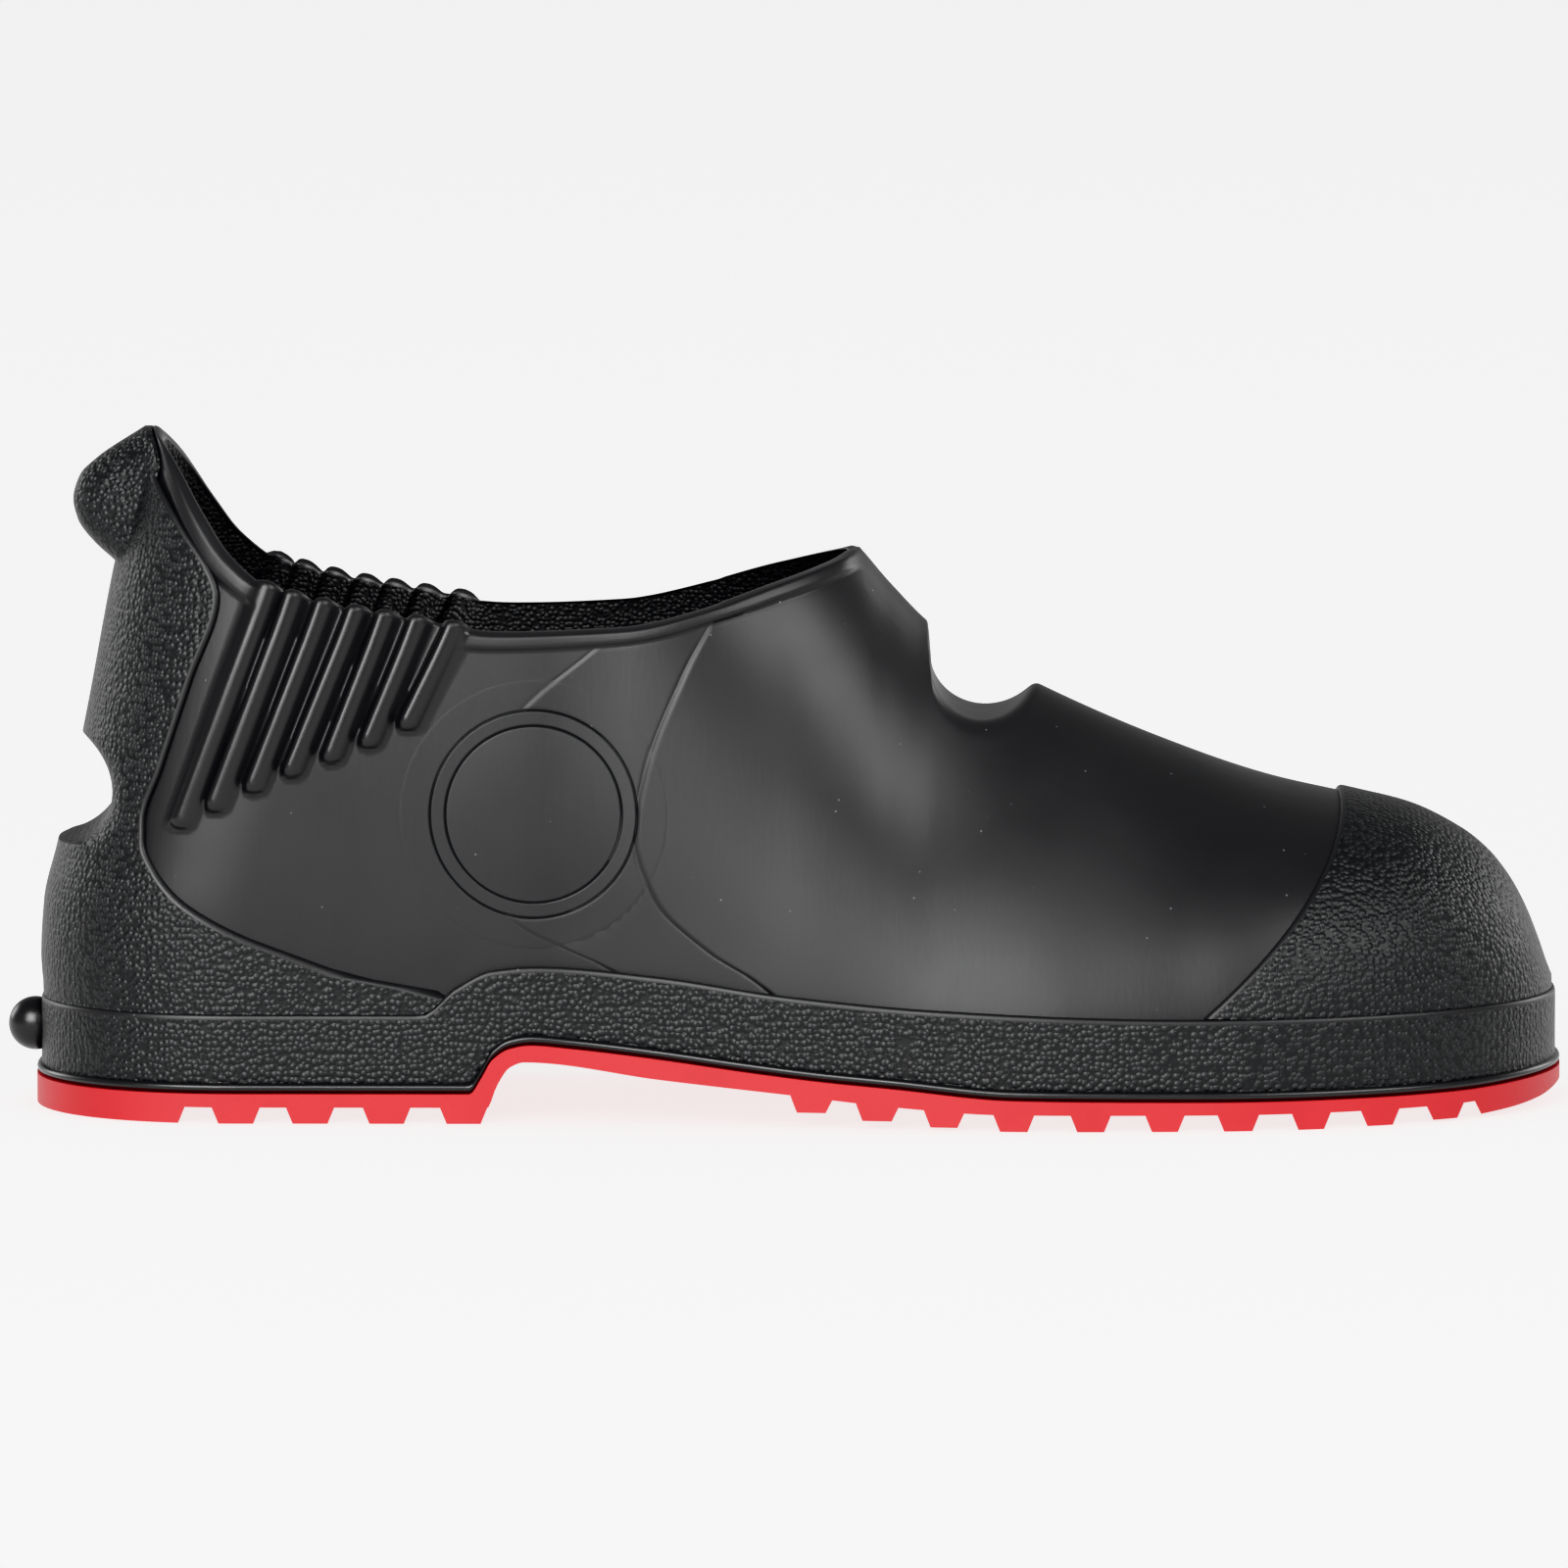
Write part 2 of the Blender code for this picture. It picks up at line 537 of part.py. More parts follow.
def build_pull_tab(finish, collection):
    """Lobe behind the heel's top: its front lies on the counter, its back is a rounded nose."""
    s = np.linspace(0, 1, 10)
    nose_x = smooth(TAB, "s", "x", s)
    nose_z = smooth(TAB, "s", "z", s)
    across = np.sin(np.linspace(-np.pi / 2, np.pi / 2, 9))
    y = across[:, None] * TAB_WIDTH / 2
    inset = -COUNTER_GAP - COUNTER_WALL - GAP
    z = nose_z + 0 * y
    start = heel_back(z, inset)
    half = smooth(OUTLINE, "x", "half", start) - SEAT_INSET - inset
    t = np.clip((z - SHOULDER) / (crest_height(start, inset) - SHOULDER), 0, 1)
    share = np.abs(y) / (half * np.sqrt(1 - t ** 2))
    depth = (HEEL_ROUND - SEAT_INSET - inset) * (1 - (1 - share ** ROUND_POWER) ** (1 / ROUND_POWER))
    front = start + depth
    thick = TAB_EDGE + (1 - TAB_EDGE) * (1 - np.abs(across) ** 4)[:, None] ** 0.4
    back = front + np.minimum(nose_x - start, -GAP) * thick
    outer = np.stack((back, y + 0 * back, z), axis=-1)
    inner = np.stack((front, y + 0 * back, z), axis=-1)
    points, faces = shell(outer, inner, np.ones(len(outer), bool), True)
    return add_object("pull_tab", points, faces, finish, collection)


def build_kick_off_lug(finish, collection):
    """Ball on the back of the heel, its front hollowed to lie on the rand."""
    turn, tilt = np.meshgrid(np.linspace(0, 2 * np.pi, 15)[:-1], np.linspace(0, np.pi, 9))
    y = BALL_RADIUS * np.sin(tilt) * np.cos(turn)
    z = BALL_HEIGHT + BALL_RADIUS * np.sin(tilt) * np.sin(turn)
    x = BALL_X - BALL_RADIUS * np.cos(tilt)
    share = np.abs(y) / (smooth(OUTLINE, "x", "half", HEEL_END) - FLANGE_PROUD)
    depth = (HEEL_ROUND - FLANGE_PROUD) * (1 - (1 - share ** ROUND_POWER) ** (1 / ROUND_POWER))
    x = np.minimum(x, HEEL_END + FLANGE_PROUD - GAP + depth)
    points = np.stack((x, y, z), axis=-1).reshape(-1, 3)
    number = np.arange(points.shape[0]).reshape(x.shape)
    faces = []
    for k in range(len(number) - 1):
        faces += quad_strip(number[k], number[k + 1], closed=True)
    return add_object("kick_off_lug", points, faces, finish, collection)


def centre_on_origin(collection):
    """Hangs every piece on an empty that puts the middle of the shoe's box over the origin."""
    corners = [np.array(piece.bound_box) for piece in collection.objects]
    corners = np.concatenate(corners)
    middle = (corners.min(axis=0) + corners.max(axis=0)) / 2
    frame = bpy.data.objects.new(NAME + "_frame", None)
    frame.location = (-middle[0], -middle[1], 0.0)
    for piece in list(collection.objects):
        piece.parent = frame
    collection.objects.link(frame)


def main():
    for old in list(bpy.data.objects):
        bpy.data.objects.remove(old)
    parts = bpy.data.collections.new(NAME)
    cutters = bpy.data.collections.new("cutters")
    bpy.context.scene.collection.children.link(parts)
    bpy.context.scene.collection.children.link(cutters)
    smooth_black = material("pvc_smooth_black", BLACK_SMOOTH, 0.38)
    grained_black = material("pvc_grained_black", BLACK_GRAINED, 0.5)
    gloss_black = material("pvc_gloss_black", BLACK_GLOSS, 0.25)
    red = material("rubber_red", RED_RUBBER, 0.5)
    build_outsole(red, parts, cutters)
    build_rand(grained_black, parts)
    build_upper(smooth_black, parts)
    build_toe_cap(grained_black, parts)
    build_counter(grained_black, parts)
    build_pull_tab(grained_black, parts)
    build_kick_off_lug(gloss_black, parts)
    centre_on_origin(parts)


main()
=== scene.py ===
import math

import bmesh
import bpy
import numpy as np
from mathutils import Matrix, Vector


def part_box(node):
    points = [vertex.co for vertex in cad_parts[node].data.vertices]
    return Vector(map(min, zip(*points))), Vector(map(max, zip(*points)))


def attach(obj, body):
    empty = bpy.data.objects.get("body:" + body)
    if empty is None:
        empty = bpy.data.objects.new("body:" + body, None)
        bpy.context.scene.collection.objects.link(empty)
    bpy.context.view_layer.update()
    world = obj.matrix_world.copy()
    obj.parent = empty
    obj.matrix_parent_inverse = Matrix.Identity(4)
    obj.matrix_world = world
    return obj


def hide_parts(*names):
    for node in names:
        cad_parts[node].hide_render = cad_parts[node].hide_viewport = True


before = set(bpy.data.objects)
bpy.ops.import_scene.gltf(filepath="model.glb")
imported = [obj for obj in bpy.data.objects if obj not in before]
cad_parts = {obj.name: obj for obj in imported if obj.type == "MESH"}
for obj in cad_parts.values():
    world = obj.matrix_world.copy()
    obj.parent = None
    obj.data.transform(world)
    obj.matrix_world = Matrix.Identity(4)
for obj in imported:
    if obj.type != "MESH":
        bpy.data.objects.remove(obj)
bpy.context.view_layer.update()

# All shapes are worked out in millimetres in the shoe's own axes: x from heel to toe, y from the
# outer side to the inner side, z up. addPiece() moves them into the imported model's frame.

shoe = dict(
    heelEnd=-158.7, toeEnd=165.2,        # ends of the outsole
    heelRound=46.0, toeRound=78.0,       # lengths of the round ends, in plan
    roundPower=2.25,
    seatInset=2.9,                       # from the outsole's edge in to the upper
    shoulder=20.0,                       # the sides stand upright up to here
    wall=2.2,
    levelTop=86.0, collarTip=142.9, ribFoot=55.0,
    throatU=10.0, capU=14.0, toeU=16.0,  # columns of the upper's net
    quarterU=7.0, rearU=8.0, frontU=9.0,  # the quarter's start and its two creases
    archU=(8.5, 10.5),                   # level rows give way to arched ones
)
outline = dict(
    x=[-165.0, -112.7, -50.0, 10.0, 60.0, 90.0, 125.0, 165.2],
    centre=[0.0, 0.0, -1.5, -1.0, 0.5, 2.0, 4.5, 7.0],
    half=[44.0, 44.0, 43.0, 51.5, 58.5, 59.0, 58.0, 57.0],
)
stations = dict(
    x=[-165.0, -83.0, -60.0, -33.0, 0.0, 42.4, 80.0, 110.0, 130.0, 170.0],
    rise=[2.0, 2.0, 2.0, 2.0, 1.65, 1.35, 1.6, 2.2, 2.6, 2.6],
    round=[0.5, 0.5, 0.5, 0.5, 0.55, 0.6, 0.57, 0.52, 0.5, 0.5],
)
crest = dict(
    x=[-165.0, -83.0, -60.0, -33.0, 0.0, 16.0, 22.6, 31.9, 53.7, 80.0, 103.3, 122.0,
       132.8, 143.8, 149.1, 153.4, 156.7, 159.4, 161.2, 162.3],
    z=[190.0, 194.0, 190.0, 172.0, 134.0, 117.6, 109.9, 100.7, 88.6, 76.9, 68.6, 64.1,
       61.3, 55.8, 51.5, 46.1, 40.1, 33.4, 28.2, 25.4],
)
collar = dict(
    x=[-136.0, -129.8, -123.3, -117.0, -107.0, -83.0, -58.0, -33.0, 0.0, 16.0],
    z=[146.0, 138.2, 127.0, 118.0, 110.7, 105.3, 102.4, 103.4, 112.5, 117.6],
)
heelLine = dict(
    z=[0.0, 23.5, 31.0, 43.1, 54.7, 79.6, 115.2, 142.9],
    x=[-155.8, -155.8, -156.3, -155.6, -152.8, -147.1, -140.2, -133.4],
)
soleTop = dict(
    x=[-165.0, -66.0, -63.4, -61.2, -57.5, -53.2, -44.7, -26.4, -8.1, 8.3, 22.7, 48.4,
       100.0, 140.0, 165.2],
    z=[6.2, 6.2, 9.7, 13.4, 15.8, 16.5, 15.8, 13.8, 11.5, 9.7, 8.5, 6.4, 6.0, 6.2, 7.4],
)
seat = dict(
    x=[-165.0, -90.0, -72.0, -64.0, -53.0, -44.7, -26.4, -8.1, 8.3, 22.7, 48.4, 100.0, 140.0, 165.2],
    z=[9.0, 9.0, 17.0, 19.6, 20.0, 19.4, 17.4, 15.0, 13.0, 11.8, 9.6, 9.2, 9.4, 10.6],
)
randTop = dict(
    x=[-165.0, -76.0, -69.0, -61.2, -52.0, -26.4, 0.0, 30.0, 87.0, 165.0],
    z=[22.8, 22.8, 28.3, 32.1, 32.9, 31.0, 27.5, 25.0, 23.2, 23.6],
)
rails = dict(
    u=[0.0, 1.0, 7.0, 8.0, 9.0, 10.0, 11.0, 12.0, 14.0, 16.0],
    foot=[-155.8, -145.6, -110.0, -20.0, 14.0, 24.0, 31.0, 42.0, 69.7, 162.3],
    head=[-133.5, -107.1, -67.0, -35.0, -12.9, 16.0, 31.2, 52.6, 117.7, 162.3],
    bow=[1.0, 1.0, 1.0, 1.0, 1.0, 1.2, 2.4, 2.4, 1.6, 1.6],
    footShift=[1.0, 0.5, 0.0, 0.0, 0.0, 0.0, 0.0, 0.0, 0.0, -1.0],
    headShift=[1.0, 0.3, 0.0, 0.0, 0.0, -0.8, -1.0, 1.0, 0.0, -1.0],
)
# creases moulded down the quarter, x at each height: columns 8 and 9 of the net lie on them
rearCrease = dict(
    z=[16.7, 32.5, 35.7, 42.5, 52.0, 64.0, 75.0, 86.3, 99.5, 103.3],
    x=[-20.0, -36.0, -43.3, -56.2, -63.0, -65.0, -61.5, -54.5, -38.9, -35.0],
)
frontCrease = dict(
    z=[12.5, 30.4, 36.0, 47.3, 60.4, 72.5, 94.3, 106.7, 107.8],
    x=[14.0, -5.6, -15.0, -26.8, -30.8, -28.9, -20.4, -13.5, -12.9],
)
heelGroove = dict(x=-152.7, z=67.6, radius=12.65)
instepGroove = dict(x=42.4, z=93.7, radius=11.2)
# slopes of the grooves' walls, then the rounding of their lips
grooveLip = dict(steep=14.0, front=1.6, heel=4.0, instep=3.5)


# monotone cubic through a table's rows: Hermite pieces with harmonic mean slopes
def readTable(table, at, key="x", value="z"):
    x = np.asarray(table[key], float)
    y = np.asarray(table[value], float)
    step = np.diff(x)
    rise = np.diff(y) / step
    same = rise[:-1] * rise[1:] > 0
    total = np.where(same, rise[:-1] + rise[1:], 1.0)
    inner = np.where(same, 2 * rise[:-1] * rise[1:] / total, 0.0)
    slope = np.concatenate(([rise[0]], inner, [rise[-1]]))
    at = np.clip(np.asarray(at, float), x[0], x[-1])
    i = np.clip(np.searchsorted(x, at) - 1, 0, len(step) - 1)
    f = (at - x[i]) / step[i]
    start = y[i] * (1 + 2 * f) * (1 - f) ** 2 + slope[i] * step[i] * f * (1 - f) ** 2
    end = y[i + 1] * f ** 2 * (3 - 2 * f) + slope[i + 1] * step[i] * f ** 2 * (f - 1)
    return start + end


# smooth step from 0 to 1 between two values
def ease(value, low, high):
    f = np.clip((value - low) / (high - low), 0, 1)
    return f * f * (3 - 2 * f)


# middle of the plan outline, read from its table
def centreLine(x):
    return readTable(outline, x, "x", "centre")


# superellipse: 1 away from an end and 0 on it
def rounded(share):
    return (1 - np.clip(share, 0, 1) ** shoe["roundPower"]) ** (1 / shoe["roundPower"])


# end rounding at the toe: superellipse of the way through the round end
def toeRounding(x, inset):
    start = shoe["toeEnd"] - shoe["toeRound"]
    return rounded((x - start) / (shoe["toeRound"] - inset))


# end rounding at the heel, by the distance from its back
def heelRounding(distance, inset):
    return rounded(1 - distance / (shoe["heelRound"] - inset))


# half width of the plan outline drawn in by the inset: table value times both end roundings
def outlineHalf(x, inset):
    half = readTable(outline, x, "x", "half") - inset
    return half * toeRounding(x, inset) * heelRounding(x - shoe["heelEnd"] - inset, inset)


# ridge height with the ridge line moved along its own normal by the inset
def crestHeight(x, inset):
    run = np.linspace(crest["x"][0], crest["x"][-1], 1400)
    height = readTable(crest, run)
    slope = np.gradient(height, run)
    length = np.sqrt(1 + slope ** 2)
    return np.interp(x, run + inset * slope / length, height - inset / length)


# back of the heel at a height, moved in by the inset
def heelBack(z, inset):
    return readTable(heelLine, z, "z", "x") + inset


# half breadth of the upper: width times (1 - t^rise)^round times both end roundings
def halfBreadth(x, z, inset):
    half = readTable(outline, x, "x", "half") - shoe["seatInset"] - inset
    rise = readTable(stations, x, "x", "rise")
    power = readTable(stations, x, "x", "round")
    t = np.clip((z - shoe["shoulder"]) / (crestHeight(x, inset) - shoe["shoulder"]), 0, 1)
    ends = toeRounding(x, shoe["seatInset"] + inset)
    ends = ends * heelRounding(x - heelBack(z, inset), shoe["seatInset"] + inset)
    return half * (1 - t ** rise) ** power * ends


# the lower of two values, with a rounded corner: min less k h (1 - h) where they come close
def softMin(first, second, k):
    h = np.clip(0.5 + 0.5 * (second - first) / k, 0, 1)
    return second + (first - second) * h - k * h * (1 - h)


# depth of a round groove: sqrt(r^2 - d^2), going on along its tangent where it is as steep as the wall
def grooveDepth(away, radius, steep):
    away = np.abs(away)
    turn = radius * steep / np.sqrt(1 + steep ** 2)
    arc = np.sqrt(radius ** 2 - np.minimum(away, turn) ** 2)
    return arc - steep * np.clip(away - turn, 0, None)


# points inside the two round grooves move onto the grooves' floors, with rounded lips
def pressGrooves(x, z, inset):
    steep = grooveLip["steep"]
    floorX = heelGroove["x"] + grooveDepth(z - heelGroove["z"], heelGroove["radius"] + inset, steep)
    wall = np.where(x > instepGroove["x"], grooveLip["front"], steep)
    floorZ = instepGroove["z"] - grooveDepth(x - instepGroove["x"], instepGroove["radius"] + inset, wall)
    return -softMin(-x, -floorX, grooveLip["heel"]), softMin(z, floorZ, grooveLip["instep"])


rowLook = dict(footCrowd=1.6, topCrowd=1.8, clearGroove=1.01, inGroove=0.995, overGroove=5)


# heights of the rows above the ribs' level: the rise times 1 less a falling power, closer at the collar
def highRows(count):
    share = 1 - (1 - np.linspace(0, 1, count + 1)[1:]) ** rowLook["topCrowd"]
    return shoe["levelTop"] + (shoe["collarTip"] - shoe["levelTop"]) * share


# heights of the counter's rows: closing up to the groove, sine spaced on it, closer at the collar
def heelRows(inset, counts):
    low, groove, high = counts
    radius = heelGroove["radius"] + inset
    zMid = heelGroove["z"]
    clear = rowLook["clearGroove"] * radius
    share = 1 - (1 - np.linspace(0, 1, low)) ** rowLook["footCrowd"]
    below = seat["z"][0] + (zMid - clear - seat["z"][0]) * share
    turn = np.linspace(-math.pi / 2, math.pi / 2, groove)
    across = zMid + rowLook["inGroove"] * radius * np.sin(turn)
    above = np.linspace(zMid + clear, shoe["levelTop"], rowLook["overGroove"])
    return np.concatenate((below, across, above, highRows(high)))


# lower and upper end of the rail at u, with its bow: straight lines through the table, moved by the inset
def railEnds(u, inset):
    keys = ("foot", "footShift", "head", "headShift", "bow")
    foot, footShift, head, headShift, bow = (np.interp(u, rails["u"], rails[key]) for key in keys)
    foot = foot + inset * footShift
    head = head + inset * headShift
    low = np.interp(foot, seat["x"], seat["z"])
    ridge = crestHeight(head, inset)
    rim = np.minimum(readTable(collar, head), ridge)
    return foot, head, bow, low, np.where(u < shoe["throatU"], rim, ridge)


# quarter's columns: straight mixing of its first rail, both creases and the throat's rail, height by height
def followCreases(u, z, inset):
    lines = {shoe["rearU"]: readTable(rearCrease, z, "z", "x"),
             shoe["frontU"]: readTable(frontCrease, z, "z", "x")}
    for rail in (shoe["quarterU"], shoe["throatU"]):
        foot, head, bow, low, top = railEnds(np.float64(rail), inset)
        share = np.clip((z - low) / (top - low), 0, 1)
        lines[rail] = head - (head - foot) * (1 - share) ** bow
    return sum(np.clip(1 - np.abs(u - at), 0, 1) * line for at, line in lines.items())


# heights of the upper's rows: wide apart at the foot, close on the ribs' feet, closer at the collar
def wallRows(low, middle, high):
    foot = np.linspace(seat["z"][0], shoe["ribFoot"], low, endpoint=False)
    ribRows = np.linspace(shoe["ribFoot"], shoe["levelTop"], middle)
    return np.concatenate((foot, ribRows, highRows(high)))


# side-view net of the upper: level rows behind the throat, sine-spaced rows over the ridge
def upperNet(u, inset, rows):
    u = np.asarray(u, float)[:, None]
    foot, head, bow, low, top = railEnds(u, inset)
    level = shoe["levelTop"]
    spread = level + (top - level) * (rows - level) / (shoe["collarTip"] - level)
    rear = np.where(rows <= level, np.maximum(rows, low), spread)
    rear[:, :1] = low
    arch = low + (top - low) * np.sin(np.linspace(0, math.pi / 2, len(rows)))
    front = ease(u, *shoe["archU"])
    z = rear * (1 - front) + arch * front
    share = np.clip((z - low) / (top - low), 0, 1)
    x = head - (head - foot) * (1 - share) ** bow
    onCrease = followCreases(u, z, inset)
    x = np.where((u > shoe["quarterU"]) & (u < shoe["throatU"]), onCrease, x)
    chord = heelBack(low, inset) + (heelBack(top, inset) - heelBack(low, inset)) * share
    x = x + (heelBack(z, inset) - chord) * np.clip(1 - u, 0, 1)
    return x, z


# surface points of one side: the centre line plus or minus the half breadth
def onSurface(x, z, inset, side):
    y = halfBreadth(x, z, inset)
    x, z = pressGrooves(x, z, inset)
    return np.stack((x, centreLine(x) + side * y, z), axis=-1)


# unit normals of a grid of points, from its two central differences
def gridNormals(points):
    across = np.gradient(points, axis=0)
    along = np.gradient(points, axis=1)
    normal = np.cross(across, along)
    return normal / np.maximum(np.linalg.norm(normal, axis=-1, keepdims=True), 1e-9)


# quads of a grid numbered column by column
def gridQuads(columns, rows, offset=0, wrapColumns=False, wrapRows=False):
    number = offset + np.arange(columns * rows).reshape(columns, rows)
    if wrapColumns:
        number = np.concatenate((number, number[:1]), axis=0)
    if wrapRows:
        number = np.concatenate((number, number[:, :1]), axis=1)
    corners = (number[:-1, :-1], number[1:, :-1], number[1:, 1:], number[:-1, 1:])
    return np.stack(corners, axis=-1).reshape(-1, 4)


# where the shoe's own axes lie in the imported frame, from the outsole's box
def frameShift():
    low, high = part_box("outsole")
    x = np.linspace(shoe["heelEnd"], shoe["toeEnd"], 2000)
    half = outlineHalf(x, 0.0)
    middle = ((centreLine(x) - half).min() + (centreLine(x) + half).max()) / 2
    return np.array([low[0] * 1000 - shoe["heelEnd"], (low[1] + high[1]) * 500 - middle, 0.0])


shift = frameShift()


# makes an object of a mesh, light or camera and puts it in the scene
def addObject(name, data):
    item = bpy.data.objects.new(name, data)
    bpy.context.scene.collection.objects.link(item)
    return item


# puts grids of points and their quads into a mesh, joins its seams and turns it outwards
def addPiece(name, grids, quads, materials, node, materialIndex=None, sharp=40.0):
    points = (np.concatenate([grid.reshape(-1, 3) for grid in grids]) + shift) * 0.001
    mesh = bpy.data.meshes.new(name)
    mesh.vertices.add(len(points))
    mesh.vertices.foreach_set("co", points.astype(np.float32).ravel())
    mesh.loops.add(quads.size)
    mesh.loops.foreach_set("vertex_index", quads.astype(np.int32).ravel())
    mesh.polygons.add(len(quads))
    mesh.polygons.foreach_set("loop_start", np.arange(len(quads), dtype=np.int32) * 4)
    if materialIndex is not None:
        mesh.polygons.foreach_set("material_index", np.asarray(materialIndex, np.int32))
    mesh.update(calc_edges=True)
    work = bmesh.new()
    work.from_mesh(mesh)
    bmesh.ops.remove_doubles(work, verts=work.verts, dist=3e-6)
    bmesh.ops.dissolve_degenerate(work, edges=work.edges, dist=1e-7)
    bmesh.ops.recalc_face_normals(work, faces=work.faces)
    work.to_mesh(mesh)
    work.free()
    for finish in materials:
        mesh.materials.append(finish)
    mesh.shade_smooth()
    mesh.set_sharp_from_angle(angle=math.radians(sharp))
    piece = addObject(name, mesh)
    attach(piece, "root")
    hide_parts(node)
    print(name, len(mesh.polygons), "faces")
    return piece


# sRGB hex to linear colour
def hexColour(text):
    value = np.array([int(text[i:i + 2], 16) for i in (1, 3, 5)]) / 255
    linear = np.where(value <= 0.04045, value / 12.92, ((value + 0.055) / 1.055) ** 2.4)
    return (*linear.tolist(), 1.0)


# adds one shader node to a material or world, with its settings and its links
def addNode(owner, kind, settings=None, links=None):
    tree = owner.node_tree
    node = tree.nodes.new("ShaderNode" + kind)
    for key, value in (settings or {}).items():
        if isinstance(key, str) and hasattr(node, key):
            setattr(node, key, value)
        else:
            node.inputs[key].default_value = value
    for key, source in (links or {}).items():
        tree.links.new(source, node.inputs[key])
    return node


# material with its shader's smoothness and strength of reflection
def newMaterial(name, roughness, ior, specular=0.5):
    material = bpy.data.materials.new(name)
    material.use_nodes = True
    shader = material.node_tree.nodes["Principled BSDF"]
    shader.inputs["Roughness"].default_value = roughness
    shader.inputs["IOR"].default_value = ior
    shader.inputs["Specular IOR Level"].default_value = specular
    return material, shader


# links node outputs to the shader's sockets
def feedShader(material, shader, sources):
    for socket, source in sources.items():
        material.node_tree.links.new(source, shader.inputs[socket])


# plasticised PVC from a polished mould: satin, faintly cloudy, with fine upright streaks and dust specks
smoothLook = dict(
    dark="#1a1a1b", light="#212122", cloudMm=38.0, cloudDetail=3.0, cloudLow=0.3, cloudHigh=0.7,
    roughness=0.4, roughLow=0.36, roughHigh=0.46, ior=1.53, specular=0.42,
    toothMm=0.9, toothLong=16.0, toothDeepMm=0.06, bump=0.3,
    speckEveryMm=6.0, speckMm=0.5, speckCore=0.4, speckColour="#6a6a6c",
)
# PVC from a mirror-polished mould: dark, even and glossy, with slight waviness in the reflections
glossLook = dict(
    dark="#181819", light="#181819", cloudMm=9.0, cloudDetail=2.0, cloudLow=0.0, cloudHigh=1.0,
    roughness=0.22, roughLow=0.24, roughHigh=0.36, ior=1.53, specular=0.5,
    toothMm=9.0, toothLong=1.0, toothDeepMm=0.2, bump=0.2,
)
# red sole rubber: satin, even colour with slight mottling and a fine moulded tooth
rubberLook = dict(
    dark="#a31c21", light="#b0252a", cloudMm=14.0, cloudDetail=3.0, cloudLow=0.0, cloudHigh=1.0,
    roughness=0.5, roughLow=0.42, roughHigh=0.58, ior=1.52, specular=0.5,
    toothMm=0.7, toothLong=1.0, toothDeepMm=0.1, bump=0.2,
)


# moulded surface: one noise clouds colour and roughness, a finer one, drawn out upright, is a low relief
def mouldedFinish(name, look):
    material, shader = newMaterial(name, look["roughness"], look["ior"], look["specular"])
    place = addNode(material, "TexCoord").outputs["Object"]
    cloud = addNode(material, "TexNoise",
                    {"Scale": 1000 / look["cloudMm"], "Detail": look["cloudDetail"]}, {"Vector": place})
    across = 1000 / look["toothMm"]
    drawn = addNode(material, "Mapping",
                    {"Scale": (across, across, across / look["toothLong"])}, {"Vector": place})
    tooth = addNode(material, "TexNoise", {"Scale": 1.0, "Detail": 2.0}, {"Vector": drawn.outputs[0]})
    colour = addNode(material, "Mix",
                     {"data_type": "RGBA", 6: hexColour(look["dark"]), 7: hexColour(look["light"])},
                     {0: cloud.outputs[0]})
    if "speckMm" in look:
        speck = addNode(material, "TexVoronoi", {"Scale": 1000 / look["speckEveryMm"]}, {"Vector": place})
        edge = look["speckMm"] / 2 / look["speckEveryMm"]
        dot = addNode(material, "MapRange",
                      {"From Min": edge, "From Max": look["speckCore"] * edge},
                      {"Value": speck.outputs["Distance"]})
        colour = addNode(material, "Mix", {"data_type": "RGBA", 7: hexColour(look["speckColour"])},
                         {0: dot.outputs[0], 6: colour.outputs[2]})
    rough = addNode(material, "MapRange",
                    {"From Min": look["cloudLow"], "From Max": look["cloudHigh"],
                     "To Min": look["roughLow"], "To Max": look["roughHigh"]}, {"Value": cloud.outputs[0]})
    bump = addNode(material, "Bump",
                   {"Strength": look["bump"], "Distance": look["toothDeepMm"] / 1000},
                   {"Height": tooth.outputs[0]})
    feedShader(material, shader, {"Base Color": colour.outputs[2], "Roughness": rough.outputs[0],
                                  "Normal": bump.outputs[0]})
    return material


# PVC from a mould etched with a pebble grain: round bosses about a millimetre across, with painted shade
# darkening the colour in the hollows between them and a painted highlight leaving their crowns lighter
def grainedPvc(name, pebbleMm=1.25, depthMm=0.24, dark="#0c0d0e", light="#1c1d1e", roughness=0.44):
    look = dict(driftMm=6.0, driftByMm=0.4, blend=0.12, scatter=0.72, domeFrom=0.15, domeTo=0.75)
    material, shader = newMaterial(name, roughness, 1.53, 0.42)
    place = addNode(material, "TexCoord").outputs["Object"]
    drift = addNode(material, "TexNoise",
                    {"Scale": 1000 / look["driftMm"], "Detail": 1.0}, {"Vector": place})
    warp = addNode(material, "VectorMath",
                   {"operation": "MULTIPLY_ADD", 1: [look["driftByMm"] / 1000] * 3},
                   {0: drift.outputs[1], 2: place})
    pebble = addNode(material, "TexVoronoi",
                     {"feature": "SMOOTH_F1", "Scale": 1000 / pebbleMm, "Smoothness": look["blend"],
                      "Randomness": look["scatter"]}, {"Vector": warp.outputs[0]})
    bossHeightAndShade = addNode(material, "MapRange",
                   {"interpolation_type": "SMOOTHSTEP", "From Min": look["domeFrom"],
                    "From Max": look["domeTo"], "To Min": 1.0, "To Max": 0.0},
                   {"Value": pebble.outputs["Distance"]})
    # painted shade and painted highlight: the colour runs from the dark tone between the bosses to the
    # light tone on their crowns, following the same mask as the bump
    colour = addNode(material, "Mix",
                     {"data_type": "RGBA", 6: hexColour(dark), 7: hexColour(light)}, {0: bossHeightAndShade.outputs[0]})
    bump = addNode(material, "Bump",
                   {"Strength": 1.0, "Distance": depthMm / 1000}, {"Height": bossHeightAndShade.outputs[0]})
    feedShader(material, shader, {"Base Color": colour.outputs[2], "Normal": bump.outputs[0]})
    return material


